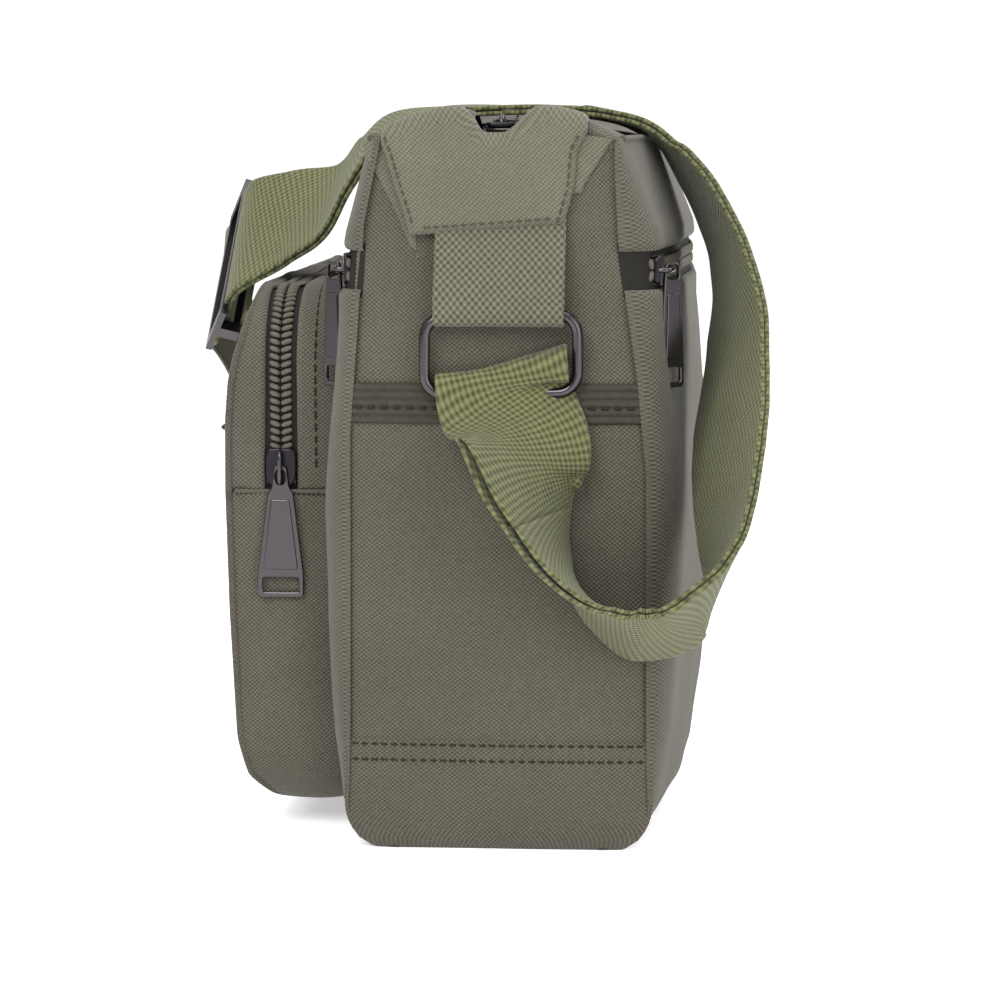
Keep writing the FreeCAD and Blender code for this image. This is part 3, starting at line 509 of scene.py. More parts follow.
slab(
    "base",
    lambda x, y: np.stack([x, y, 0.4 + 0 * x], -1),
    np.linspace(-120, 120, 40),
    np.linspace(-30, 30, 12),
    0.3,
    CANVAS,
    flip=True,
)

# ---- ribbed bands ---------------------------------------------------------------------------

BAND_LOW, BAND_TALL = 113.0, 10.8


def end_line(sign, reach, z, lift):
    """A level line across an end, for stitches."""
    return [end_point(sign, np.array(u), np.array(z), lift) for u in np.linspace(-reach, reach, 40)]


def ribbed_band(sign, label):
    """The end pocket's elastic mouth: five ribs on the end's surface."""
    heights = BAND_LOW + np.linspace(0, BAND_TALL, 60)
    u, z = np.meshgrid(np.linspace(-0.985, 0.985, 80), heights, indexing="ij")
    surface = end_point(sign, u, z, 0.4)
    w = (z - BAND_LOW) / BAND_TALL
    rib = 0.6 + 0.7 * np.abs(np.sin(w * math.pi * 5)) ** 0.7
    rib *= np.clip(np.minimum(w, 1 - w) / 0.05, 0, 1) ** 0.5
    surface[..., 0] += sign * rib
    band = cloth_grid(f"band_{label}", surface, BAND, u * 38, z, sign < 0)
    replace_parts(band, f"side_pocket_band_{label}")


for sign, label in ENDS:
    ribbed_band(sign, label)
    line = end_line(sign, 0.96, 117.4, 1.5)
    stitches(f"band_stitch_{label}", line, (sign, 0, 0), pitch=3.4, length=1.8, radius=0.4)
    for row, height in (("low", 24.0), ("high", 28.2)):
        line = end_line(sign, 0.97, height, 1.35)
        stitches(f"boot_stitch_{row}_{label}", line, (sign, 0, 0), pitch=2.6, length=1.7, radius=0.26)

# ---- top of the bag -------------------------------------------------------------------------

GAP = 6.5  # half of the main zipper's opening
SKIRT_LOW = 184.5


def crown(x):
    """Height of the top beside the main zipper; it stands up towards both ends."""
    return 190.5 + 4.6 * smooth(84, 110, np.abs(x))


def dome(y):
    """Height of the top's outline at an end."""
    return 195.2 - 7.6 * np.clip(np.abs(y) / 32.0, 0, 1.1) ** 2.2


def top_point(side, x, t):
    """The top beside the zipper: t runs from 0 at the wall's shoulder to 1 at the zipper."""
    edge = side * wall_point(side, x, np.full_like(x, z_to_v(SHOULDER)))[..., 1]
    rise = np.sin(np.clip(t, 0, 1) * math.pi / 2) ** 0.8
    y = edge + (GAP - edge) * t
    z = SHOULDER - 0.3 + (crown(x) - SHOULDER) * rise
    z = z - 1.6 * np.clip((t - 0.92) / 0.08, 0, 1) ** 2
    sag = 0.5 * np.sin(x * 0.05 + 1.0) * np.sin(t * math.pi)
    end_tuck = 1.5 * smooth(119, 122, np.abs(x))
    return np.stack([x, side * y, z + sag - end_tuck], -1)


def top_cloth(side, label):
    """A strip of the top, with a short skirt turned down at both ends."""
    u, t = np.meshgrid(xs, np.linspace(0, 1, 26), indexing="ij")
    surface = top_point(side, u, t)
    skirts = [surface[:1].copy(), surface[-1:].copy()]
    for skirt in skirts:
        skirt[..., 2] = SKIRT_LOW
    surface = np.concatenate([skirts[0], surface, skirts[1]])
    u, t = (np.concatenate([grid[:1], grid, grid[-1:]]) for grid in (u, t))
    top = cloth_grid(f"top_{label}", surface, CANVAS, u, t * 30, side > 0)
    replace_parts(top, f"top_panel_{label}")


above = np.array([0, 0, 0.2])
for side, label in WALLS:
    top_cloth(side, label)
    piping = [wall_point(side, np.array(x), np.array(z_to_v(SHOULDER))) + above for x in xs[6:-6]]
    tube(f"shoulder_seam_{label}", piping, 0.8, CANVAS)
    seam = [top_point(side, np.array(x), np.array(0.9)) + above for x in np.linspace(-112, 112, 90)]
    stitches(f"top_stitch_{label}", seam, (0, 0, 1), pitch=3.0, length=2.0, radius=0.28)


def end_face_x(y, z, lift):
    """How far out an end stands at a place on it."""
    z = np.minimum(z, SHOULDER)
    half = np.where(y < 0, seam_half(-1, z), seam_half(1, z))
    u = np.clip(y / half, -1, 1)
    return END + end_depth(z) * (1 - u**4) + lift


def end_patch(name, sign, left, right, low, high, lift, thick, over=0.0, edges="lrb"):
    """A cloth patch on an end, between two side outlines y(z) and two height outlines z(y share).
    With over, its top turns inwards over the main zipper's end, less far at the notch."""
    share = knots(1.0, 1.0 / 44, 0.05)
    rise = knots(1.0, 1.0 / 60, 0.04)
    a, b = np.meshgrid(share, rise, indexing="ij")
    z = low(a) + (high(a) - low(a)) * b
    y = left(z) + (right(z) - left(z)) * a
    x = end_face_x(y, z, lift)
    if over:
        back = np.linspace(0.08, 1, 22)[None, :]
        y_top, z_top, x_top = y[:, -1:], z[:, -1:], x[:, -1:]
        reach = over * (1 - 0.72 * np.exp(-(((y_top + 0.5) / 9.0) ** 4)))
        turn = np.clip(back * reach / 3.0, 0, math.pi / 2)
        z_over = z_top + 2.0 * np.sin(turn) + 0 * y_top
        x_over = x_top - 2.0 * (1 - np.cos(turn)) - np.clip(back * reach - 3.0 * math.pi / 2, 0, None)
        y_over = y_top + 0 * back
        x, y, z = (np.concatenate(pair, axis=1) for pair in ((x, x_over), (y, y_over), (z, z_over)))
        b = np.concatenate([b, 1 + back * 0.3 + 0 * y_top], axis=1)
        a = np.concatenate([a, share[:, None] + 0 * back], axis=1)
    base = np.stack([x, y, z], -1)
    span = float(np.mean(right(z[:, 0]) - left(z[:, 0])))
    tall = float(np.mean(high(share) - low(share)))
    away = np.full(a.shape, 1e3)
    gaps = {"l": a * span, "r": (1 - a) * span, "b": b * tall, "t": (1 - np.clip(b, 0, 1)) * tall}
    for edge in edges:
        away = np.minimum(away, gaps[edge])
    top = base + normals(base) * rounded_lift(away, thick)[..., None]
    top[..., 0] *= sign
    return cloth_grid(name, top, FLAP, y * 0.97 + 0.2 * z, z, sign < 0)


def flap_left(z):
    """The end cover's front edge."""
    return np.interp(z, [162, 168, 175, 183, 187, 196], [-23.3, -24.9, -27.2, -29.6, -31.2, -31.6])


def flap_right(z):
    """The end cover's back edge."""
    return np.interp(z, [164, 169, 175, 184.4, 189, 196], [16.2, 17.8, 19.4, 20.2, 22.8, 23.6])


def flap_top(a):
    """The end cover's ridge, notched for the main zipper's slider."""
    y = -31 + 53.5 * a
    return dome(y) - 2.4 - 7.6 * np.exp(-(((y + 0.5) / 8.0) ** 4))


def fold_left(z):
    return np.interp(z, [155, 160, 168, 177, 183, 188], [-19.5, -23.6, -27.0, -31.6, -35.2, -35.6])


def fold_right(z):
    return np.interp(z, [172, 176, 184, 190], [20.6, 22.4, 27.5, 31.0])


flap_sewing = {"material": FLAP_STITCH, "pitch": 2.4, "length": 1.6, "radius": 0.24}
for sign, label in ENDS:
    flap = end_patch(
        f"flap_{label}", sign, flap_left, flap_right, lambda a: 162.2 + 3.0 * a, flap_top, 2.0, 2.0, over=12.0
    )
    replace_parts(flap, f"end_flap_{label}")
    for name, left, right, low, high, thick, edges in (
        ("left", fold_left, lambda z: flap_left(z) + 1.5, 156.5, lambda a: 186.5 + 0 * a, 1.3, "lb"),
        ("right", lambda z: flap_right(z) - 1.5, fold_right, 173.0, lambda a: 188.2 - 1.0 * a, 1.2, "rb"),
    ):
        foot = lambda a, low=low: low + 0 * a
        end_patch(f"fold_{name}_{label}", sign, left, right, foot, high, 0.3, thick, edges=edges)
    for name, edge, inset in (("left", flap_left, 1.6), ("right", flap_right, -1.6)):
        line = []
        for z in np.linspace(165, 188, 24):
            y = float(edge(z) + inset)
            line.append((sign * float(end_face_x(y, z, 4.0)), y, z))
        stitches(f"flap_stitch_{name}_{label}", line, (sign, 0, 0), **flap_sewing)
    line = []
    for y in np.linspace(-20, 15, 30):
        line.append((sign * float(end_face_x(y, 164.5, 4.0)), y, 163.9 + 0.075 * (y + 23)))
    stitches(f"flap_stitch_foot_{label}", line, (sign, 0, 0), **flap_sewing)


# ---- webbing --------------------------------------------------------------------------------


def through(points, extra, step):
    """A smooth line through points, with the other columns carried along it."""
    points = np.asarray(points, float)
    extra = np.asarray(extra, float)
    chord = np.linalg.norm(np.diff(points, axis=0), axis=1)
    run = run_along(points)
    slope = np.diff(points, axis=0) / chord[:, None]
    tangent = np.empty_like(points)
    tangent[0], tangent[-1] = slope[0], slope[-1]
    before, after = chord[:-1, None], chord[1:, None]
    tangent[1:-1] = (slope[:-1] * after + slope[1:] * before) / (before + after)
    at = np.linspace(0, run[-1], int(run[-1] / step) + 1)
    i = np.clip(np.searchsorted(run, at, side="right") - 1, 0, len(chord) - 1)
    h = chord[i][:, None]
    t = ((at - run[i]) / chord[i])[:, None]
    line = (
        (2 * t**3 - 3 * t**2 + 1) * points[i]
        + (t**3 - 2 * t**2 + t) * h * tangent[i]
        + (-2 * t**3 + 3 * t**2) * points[i + 1]
        + (t**3 - t**2) * h * tangent[i + 1]
    )
    carried = np.stack([np.interp(at, run, extra[:, k]) for k in range(extra.shape[1])], -1)
    return line, carried


WEB_THICK = 1.3
WEB_WIDTH = 38.0


def webbing(names, points, across, halves, material, cuts=(), step=1.6):
    """A woven ribbon through points, parted at the stations in cuts. across holds the direction of its
    width and halves half of that width, one each per point."""
    across = unit(np.asarray(across, float))
    line, carried = through(points, np.column_stack([across, halves]), step)
    run = run_along(line)
    along = unit(np.gradient(line, axis=0))
    wide = unit(carried[:, :3] - along * np.sum(carried[:, :3] * along, -1, keepdims=True))
    normal = np.cross(along, wide)
    places = np.concatenate([[-1, -0.985, -0.95], np.linspace(-0.88, 0.88, 7), [0.95, 0.985, 1]])
    height = WEB_THICK / 2 * np.array([0.35, 0.8, 1.0] + [0.92] * 7 + [1.0, 0.8, 0.35])
    shares = np.concatenate([places, places[::-1]])
    heights = np.concatenate([height, -height[::-1]])
    half = carried[:, 3]
    surface = np.stack([line + wide * (half * c)[:, None] + normal * h for c, h in zip(shares, heights)], 1)
    count = len(shares)
    uv = np.stack([run[:, None] + 0 * shares[None, :], half[:, None] * shares[None, :]], -1)
    marks = [0] + [int(np.argmin(np.linalg.norm(line - cut, axis=1))) for cut in cuts] + [len(line) - 1]
    pieces = []
    for name, first, last in zip(names, marks, marks[1:]):
        rows = last - first + 1
        faces = grid_faces(rows, count, wrap=True)
        faces.append(tuple(range(count - 1, -1, -1)))
        faces.append(tuple(range((rows - 1) * count, rows * count)))
        here = slice(first, last + 1)
        piece = add_mesh(name, surface[here].reshape(-1, 3), faces, material, uv[here].reshape(-1, 2))
        pieces.append((piece, float(run[last] - run[first])))
    return pieces


DOUBLED_RUN = [
    ((136, 7, 111), (-18, 31, 2), 3.0),
    ((142, 9, 102), (-30, 23, -2), 2.4),
    ((144, 12, 91), (-34, 15, -8), 1.6),
    ((144, 18, 77), (-34, 9, -13), 0.8),
    ((143, 27, 66), (-33, 6, -18), 0.3),
    ((143, 36, 61), (-33, 4, -18), 0.1),
    ((143, 45, 62), (-34, 1, -17), 0),
    ((143, 51.4, 66.5), (-34, 0, -17), 0),
    ((140.9, 55.5, 71), (-34, -3, -16), 0),
    ((136.7, 58.5, 77.6), (-34, -7, -14), 0),
    ((131, 59.5, 87.5), (-33, -12, -11), 0),
    ((123.1, 59.8, 98.7), (-33, -15, -8), 0),
    ((115.1, 60, 108.4), (-33, -16, -6), 0),
    ((107.1, 60.2, 117.8), (-33, -15, -5), 0),
    ((96.4, 61, 131.3), (-34, -13, -4), 0),
    ((87.9, 60.2, 142.2), (-35, -11, -3), 0),
    ((80.5, 58.8, 153.4), (-35, -8, -1), 0),
    ((75.5, 55.8, 162.5), (-35, -8, 0), 0),
    ((69.5, 51, 171.6), (-36, -8, 1), 0),
    ((65.4, 46, 179), (-36, -7, 1), 0),
    ((63.5, 39.5, 187), (-36, -6, 1), 0),
    ((62, 29, 192), (-37, -5, 0), 0),
    ((61, 14, 194.2), (-37, -4, 0), 0),
    ((60, -4, 194.4), (-37, -4, 0), 0),
    ((59, -22, 193.4), (-37, -3, 1), 0),
    ((59, -36, 189.6), (-37, -2, 5), 0),
    ((58, -44, 180.4), (-35, 1, 13), 0),
    ((51, -53, 168.5), (-31, 3.5, 20), 0),
    ((47.5, -64, 164.5), (-27, 3, 25), 0),
    ((43.8, -76.1, 159.9), (-0.56, 0.09, 0.82), 0),
    ((21.68, -85.06, 145.34), (-0.56, 0.09, 0.82), 0),
]
SINGLE_RUN = [
    ((21.68, -85.06, 145.34), (-0.56, 0.09, 0.82)),
    ((-4, -92, 141), (-20, 1, 31)),
    ((-28, -92, 131), (-19, 0, 33)),
    ((-55, -91, 116), (-19, 0, 33)),
    ((-85, -88, 98), (-20, 0, 32)),
    ((-110, -83, 80), (-22, -2, 31)),
    ((-132, -72, 65), (-27, -7, 25)),
    ((-146, -54, 56), (-33, -11, 14)),
    ((-152, -34, 53), (-36, -10, 3)),
    ((-151, -16, 60), (-33, -18, 0)),
    ((-145, -6, 75), (-25, -29, 0)),
    ((-139, -2, 93), (-16, -34, 0)),
]


def layer(stations, offset, opening=0.0):
    """Middle line and width directions of one of the strap's layers; opening spreads it at the near ring."""
    middles = np.array([station[0] for station in stations], float)
    wide = unit(np.array([station[1] for station in stations], float))
    along = unit(np.gradient(middles, axis=0))
    wide = unit(wide - along * np.sum(wide * along, -1, keepdims=True))
    normal = np.cross(along, wide)
    gap = np.array([station[2] for station in stations]) * opening
    return middles + normal * (offset - gap)[:, None], wide


LAYER = 0.75  # from the doubled run's middle to the middle of a layer
NEAR_BEND = 2  # the station where the strap is parted below the near ring
RING_X = 127.0
FULL, EASED, NARROW = WEB_WIDTH / 2, 18.6, 17.4  # half widths away from, beside and in the near ring

inner_line, inner_wide = layer(DOUBLED_RUN, LAYER)
outer_line, outer_wide = layer(DOUBLED_RUN, -LAYER, 1.0)
turn_angles = np.radians([-20, 30, 70, 110, 150, 200])
ring_turn = [(RING_X + 2.4 * math.cos(a), 1.0, 124.5 + 4.5 * math.sin(a)) for a in turn_angles]
turn_wide = [(0.0, 0.955, 0.297)] * len(ring_turn)
layer_halves = [FULL] * (len(DOUBLED_RUN) - 1) + [EASED]
near_pieces = webbing(
    ["strap_inner_run", "strap_near_bend", "strap_outer_run"],
    np.concatenate([inner_line[::-1], ring_turn, outer_line]),
    np.concatenate([inner_wide[::-1], turn_wide, outer_wide]),
    layer_halves + [NARROW] * len(ring_turn) + [EASED] + [FULL] * (len(DOUBLED_RUN) - 1),
    WEBBING,
    cuts=[inner_line[NEAR_BEND], outer_line[NEAR_BEND]],
)
for (piece, length), replaced, rests in zip(
    near_pieces,
    ("strap_inner_layer", "strap_turn_near", "strap_outer_layer"),
    ("strap_adjuster", "ring_wire_near", "strap_adjuster"),
):
    if piece.name == "strap_near_bend":
        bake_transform(piece)
    else:
        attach(piece, "bag")
    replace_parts(piece, replaced)

run_points = [station[0] for station in SINGLE_RUN[:-1]]
run_wide = [tuple(unit(np.array(station[1], float))) for station in SINGLE_RUN[:-1]]
rise_points = [(-140.2, -2.2, 92), (-134, 0, 107)]
rise_wide = [(-0.42, -0.9, 0), (-0.2, -0.97, 0)]
far_angles = np.radians([-60, 0, 60, 120, 180])
far_turn = [(-(RING_X + 2.4 * math.cos(a)), 0.0, 121.5 + 2.4 * math.sin(a)) for a in far_angles]
sewn_points = [(-124.4, 0, 112), (-127.5, -0.5, 103), (-135.5, -1.2, 93)]
sewn_wide = [(0, -1, 0), (-0.1, -0.99, 0), (-0.4, -0.91, 0)]
(far_run, run_length), (far_bend, bend_length) = webbing(
    ["strap_single_run", "strap_far_bend"],
    np.array(run_points + rise_points + far_turn + sewn_points, float),
    np.array(run_wide + rise_wide + [(0, -1, 0)] * len(far_turn) + sewn_wide, float),
    [FULL] * len(run_points) + [18.8, 18.0] + [17.2] * len(far_turn) + [17.4, 18.4, 18.8],
    WEBBING,
    cuts=[run_points[-1]],
)
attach(far_run, "bag")
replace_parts(far_run, "strap_far_run")
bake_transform(far_bend)
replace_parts(far_bend, "strap_turn_far")

WIRE = 1.5
RING_HALF_Y, RING_HALF_Z, RING_CORNER = 19.9, 10.1, 5.2
BAR_Z = 141.5
for sign, label in ENDS:
    ring_path = []
    for y_sign, z_sign, first in ((1, 1, 90), (-1, 1, 180), (-1, -1, 270), (1, -1, 360)):
        for a in np.radians(np.linspace(first - 90, first, 7)):
            y = y_sign * (RING_HALF_Y - RING_CORNER) + RING_CORNER * math.cos(a)
            z = z_sign * (RING_HALF_Z - RING_CORNER) + RING_CORNER * math.sin(a)
            ring_path.append((sign * RING_X, y + 0.6, BAR_Z - RING_HALF_Z + z + 0.02 * y * sign))
    wire = tube(f"ring_wire_{label}", ring_path, WIRE, GUNMETAL, f"{label}_ring_body", closed=True, around=14)
    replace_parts(wire, f"strap_ring_{label}")
    reach = WIRE + 0.75
    outer_loop = [(123.2, 0.3, 168.0), (125.4, 0.3, 161.5), (128.4, 0.2, 152.0), (129.3, 0, 145.5)]
    inner_loop = [(124.7, 0, 146.0), (124.2, 0, 153.0), (123.9, 0, 160.0)]
    under = []
    for a in np.radians([0, -45, -90, -135, -180]):
        under.append((RING_X + reach * math.cos(a), 0, BAR_Z + reach * math.sin(a)))
    loop_path = [(sign * x, y, z) for x, y, z in outer_loop + under + inner_loop]
    count = len(loop_path)
    pieces = webbing([f"loop_{label}"], loop_path, [(0, 1, 0.0)] * count, [17.0] * count, LOOP, step=0.8)
    loop = pieces[0][0]
    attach(loop, "bag")
    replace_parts(loop, f"ring_loop_{label}")

# ---- bellows pocket -------------------------------------------------------------------------

POCKET_X, POCKET_LOW, POCKET_HIGH, POCKET_ROUND, POCKET_SEAM = 104.0, 7.0, 147.0, 22.0, 93.0
ZIP_Y = -60.0
ZIP_SLIT = 4.4  # from a zipper's middle to the cloth beside it


def pocket_line(up):
    """The pocket's outline from the near seam to the far one, over the top or under the bottom."""
    flip = 1 if up else -1
    edge = POCKET_HIGH if up else POCKET_LOW
    centre_z = edge - flip * POCKET_ROUND
    inner = POCKET_X - POCKET_ROUND
    points = [(POCKET_X, z) for z in np.linspace(POCKET_SEAM, centre_z, 24)]
    for a in np.linspace(0, math.pi / 2, 20)[1:]:
        points.append((inner + POCKET_ROUND * math.cos(a), centre_z + flip * POCKET_ROUND * math.sin(a)))
    points += [(x, edge) for x in np.linspace(inner, -inner, 60)[1:-1]]
    points += [(-x, z) for x, z in reversed(points[:43])]
    points = np.array(points)
    tangent = unit(np.gradient(points, axis=0))
    normal = np.stack([tangent[:, 1], -tangent[:, 0]], -1) * flip
    return points, normal, run_along(points)


UP_LINE, DOWN_LINE = pocket_line(True), pocket_line(False)


def pocket_edge_y(z):
    """Depth of the face's edge: the face rolls back towards its top and its bottom."""
    return -np.interp(
        z,
        [7, 9, 15, 26, 60, 93, 112, 122, 129, 135, 141, 147],
        [62.0, 64.5, 69.5, 71.8, 73.6, 74.5, 74.4, 73.6, 72.2, 70.4, 68.6, 66.8],
    )


def pocket_skin(outline, s, y, lift=0.0):
    """A point on the gusset: s along the outline, y its depth."""
    points, normal, run = outline
    x = np.interp(s, run, points[:, 0])
    z = np.interp(s, run, points[:, 1])
    nx = np.interp(s, run, normal[:, 0])
    nz = np.interp(s, run, normal[:, 1])
    belly = 1.4 * np.sin(np.clip((-y - 40) / 34, 0, 1) * math.pi)
    crease = 0.35 * np.sin(s * 0.11 + y * 0.16) + 0.3 * np.sin(s * 0.05 - y * 0.21)
    out = belly + crease * np.clip((74 + y) / 8, 0, 1) + lift
    return np.stack([x + nx * out, y + 0 * x, z + nz * out], -1)


def wall_depth(x, z):
    """Depth at which the pocket's cloth goes into the front wall."""
    return 1.0 - np.minimum(wall_half(-1, x, z), 54.0)


def edge_depth(x, z):
    """Depth at which the pocket's cloth meets its face."""
    return pocket_edge_y(z)


def beside_zip(gap):
    """A depth that keeps one gap from the zipper's middle all the way round."""
    return lambda x, z: ZIP_Y + gap + 0 * z


def pocket_panel(name, outline, front, back, thick, replaced, edges, material=CANVAS, lift=0.0):
    """Cloth round the pocket between two depths; thick is taken off inwards at the named edges."""
    run = outline[2]
    s = knots(run[-1], 2.4)
    a, b = np.meshgrid(s, knots(1.0, 1.0 / 26, 0.04), indexing="ij")
    x = np.interp(a, run, outline[0][:, 0])
    z = np.interp(a, run, outline[0][:, 1])
    y0 = front(x, z)
    y1 = back(x, z)
    y = y0 + (y1 - y0) * b
    base = pocket_skin(outline, a, y, lift)
    away = np.full(a.shape, 1e3)
    gaps = {"f": b * np.abs(y1 - y0), "b": (1 - b) * np.abs(y1 - y0), "s": np.minimum(a, run[-1] - a)}
    for edge in edges:
        away = np.minimum(away, gaps[edge])
    high = rounded_lift(away, thick) - thick
    flip = outline is UP_LINE
    surface = base + normals(base) * (-1 if flip else 1) * high[..., None]
    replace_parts(cloth_grid(name, surface, material, y, a, flip), replaced)


before, behind = beside_zip(-ZIP_SLIT), beside_zip(ZIP_SLIT)
pocket_panel("pocket_bellows", DOWN_LINE, edge_depth, wall_depth, 1.4, "pocket_gusset", "s")
pocket_panel("pocket_over_front", UP_LINE, edge_depth, before, 1.4, "pocket_arch_front", "bs")
pocket_panel("pocket_over_back", UP_LINE, behind, wall_depth, 1.4, "pocket_arch_back", "fs")
tape_front, tape_back = beside_zip(-6), beside_zip(6)
pocket_panel("pocket_tape", UP_LINE, tape_front, tape_back, 0.2, "pocket_zipper", "", TAPE, -TAPE_INSET)


def pocket_half_width(z):
    """Half width of the pocket's rounded outline at a height."""
    gap = np.clip(np.minimum(z - POCKET_LOW, POCKET_HIGH - z), 0, POCKET_ROUND)
    return POCKET_X - POCKET_ROUND + np.sqrt(np.clip(POCKET_ROUND**2 - (POCKET_ROUND - gap) ** 2, 0, None))


def face_point(u, z, lift=0.0):
    """The pocket's face: u from -1 at the far edge to 1 at the near one."""
    half = pocket_half_width(z)
    x = u * half
    swell = 1.4 * (1 - (x / 110.0) ** 2) * np.sin(np.clip((z - 7) / 140, 0, 1) * math.pi) ** 0.7
    roll = np.sqrt(np.clip(1 - (1 - np.clip((half - np.abs(x)) / 4.0, 0, 1)) ** 2, 0, 1))
    crease = 0.5 * np.sin(x * 0.04 + z * 0.07) + 0.3 * np.sin(x * 0.1 - z * 0.05)
    y = pocket_edge_y(z) - (0.8 + swell + 0.6 * crease * roll) * roll + 0.6 - lift
    return np.stack([x, y, z], -1)


FACE_ZIP = 108.0
FACE_SLIT = 4.2
face_us = edge_knots(0.05, 1.6, 90)
for label, low, high, edges in (
    ("lower", POCKET_LOW + 0.1, FACE_ZIP - FACE_SLIT, "t"),
    ("upper", FACE_ZIP + FACE_SLIT, POCKET_HIGH - 0.1, "b"),
):
    face_vs = low + knots(high - low, 2.2, 3.0)
    face = slab(f"pocket_face_{label}_cloth", face_point, face_us, face_vs, 1.0, CANVAS, True, edges)
    values = np.empty(len(face.data.vertices) * 3, dtype=np.float32)
    face.data.vertices.foreach_get("co", values)
    set_uv(face.data, values.reshape(-1, 3)[:, [0, 2]] / MM)
    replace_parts(face, f"pocket_face_{label}")
tape_us, tape_vs = np.linspace(-0.97, 0.97, 60), FACE_ZIP + np.linspace(-6, 6, 9)
face_tape = slab("face_tape", lambda u, z: face_point(u, z, -1.4), tape_us, tape_vs, 0.1, TAPE, True)
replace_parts(face_tape, "face_zipper")
patch_us, patch_vs = 0.6 + knots(0.34, 0.02, 0.02), 34.5 + knots(27.5, 1.5, 1.0)
patch = slab("patch_cloth", lambda u, z: face_point(u, z, 1.3), patch_us, patch_vs, 0.8, PATCH, True)
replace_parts(patch, "label_patch")
loop_points = np.concatenate([UP_LINE[0], DOWN_LINE[0][::-1][1:-1]])
edge_path = [(x, float(pocket_edge_y(z)) + 0.2, z) for x, z in loop_points]
tube("pocket_piping", edge_path, 1.0, CANVAS, closed=True)
for sign, label in ENDS:
    ridge = []
    for y in np.linspace(-72.5, -41, 24):
        ridge.append((sign * (104.9 + 0.25 * math.sin((-y - 40) / 34 * math.pi)), y, POCKET_SEAM))
    tube(f"pocket_ridge_{label}", ridge, 0.55, CANVAS)
run_up = UP_LINE[2][-1]
line = [pocket_skin(UP_LINE, np.array(s), np.array(-50.6), 0.15) for s in np.linspace(6, run_up - 6, 200)]
for i, (start, stop, way) in enumerate(((0, 50, (1, 0, 0)), (50, 150, (0, 0, 1)), (150, 200, (-1, 0, 0)))):
    stitches(f"pocket_stitch_{i}", line[start:stop], way, pitch=3.2, length=2.2, radius=0.28)


# ---- zipper teeth ---------------------------------------------------------------------------


def teeth(name, path, outwards, replaced=()):
    """Two rows of slanted coil turns along a path; outwards is one normal, or one per place on the path."""
    pitch, half, high = 2.0, 2.9, 1.5
    line = resample(path, pitch)
    outwards = np.asarray(outwards, float)
    if outwards.ndim == 1:
        outwards = np.tile(outwards, (len(line), 1))
    else:
        old = np.linspace(0, 1, len(outwards))
        new = np.linspace(0, 1, len(line))
        outwards = unit(np.stack([np.interp(new, old, outwards[:, k]) for k in range(3)], -1))
    along = unit(np.gradient(line, axis=0))
    points, faces = [], []
    for centre, way, up in zip(line, along, outwards):
        wide = unit(np.cross(up, way))
        for side in (-1, 1):
            start = len(points)
            for f, r, w in ((0.06, 0.45, 0.3), (0.3, 1.0, 0.62), (0.75, 1.0, 0.62), (1.0, 0.4, 0.35)):
                slant = way * (0.9 * (f - 0.5))
                middle = centre + wide * (side * half * f) + slant
                for a in 2 * math.pi * np.arange(6) / 6:
                    across = way * (math.cos(a) * w * pitch * 0.66)
                    points.append(middle + across + up * (math.sin(a) * r * high * 0.5))
            faces += grid_faces(4, 6, start, wrap=True, flip=side > 0)
            faces.append(tuple(range(start, start + 6)))
            faces.append(tuple(range(start + 23, start + 17, -1)))
    thing = add_mesh(name, points, faces, COIL, np.zeros((len(points), 2)))
    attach(thing, "bag")
    if replaced:
        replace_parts(thing, *replaced)


SLIT_Z = (SLIT_LOW + SLIT_HIGH) / 2
up_s = np.linspace(2, run_up - 2, 260)
path = pocket_skin(UP_LINE, up_s, np.full_like(up_s, ZIP_Y), -0.9)
up_x, up_z = (np.interp(up_s, UP_LINE[2], UP_LINE[1][:, k]) for k in (0, 1))
teeth("pocket_coil", path, np.stack([up_x, 0 * up_s, up_z], -1))
face_x = np.linspace(-0.94, 0.94, 120)
teeth("face_coil", face_point(face_x, np.full_like(face_x, FACE_ZIP), -0.6), (0, -1, 0))
zip_x = np.linspace(-117, 117, 160)
for side, label in WALLS:
    path = wall_point(side, zip_x, np.full_like(zip_x, z_to_v(SLIT_Z)), 1.5)
    teeth(f"{label}_coil", path, (0, side, 0), (f"{label}_zipper",))


# ---- sliders and pulls ----------------------------------------------------------------------


def plate(name, outline, holes, thick, bevel, material, frame_of, body, lift=0.0):
    """A flat plate with softened edges, from an outline in its own frame, riding on a body."""
    curve = bpy.data.curves.new(name, "CURVE")
    curve.dimensions = "2D"
    curve.fill_mode = "BOTH"
    curve.extrude = (thick / 2 - bevel) * MM
    curve.bevel_depth = bevel * MM
    curve.bevel_resolution = 2
    curve.offset = -bevel * MM
    for loop in [outline] + list(holes):
        spline = curve.splines.new("POLY")
        spline.points.add(len(loop) - 1)
        for point, (x, y) in zip(spline.points, loop):
            point.co = (x * MM, y * MM, 0, 1)
        spline.use_cyclic_u = True
    holder = bpy.data.objects.new(name, curve)
    mesh = bpy.data.meshes.new_from_object(holder)
    bpy.data.objects.remove(holder)
    count = len(mesh.vertices)
    values = np.empty(count * 3, dtype=np.float32)
    mesh.vertices.foreach_get("co", values)
    local = values.reshape(-1, 3) / MM + np.array([0, 0, lift])
    axes, origin = frame_of
    world = local @ np.asarray(axes, float) + np.asarray(origin, float)
    mesh.vertices.foreach_set("co", (world * MM).astype(np.float32).ravel())
    mesh.materials.clear()
    mesh.materials.append(material)
    mesh.update()
    thing = bpy.data.objects.new(name, mesh)
    bpy.context.scene.collection.objects.link(thing)
    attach(thing, body)
    return thing


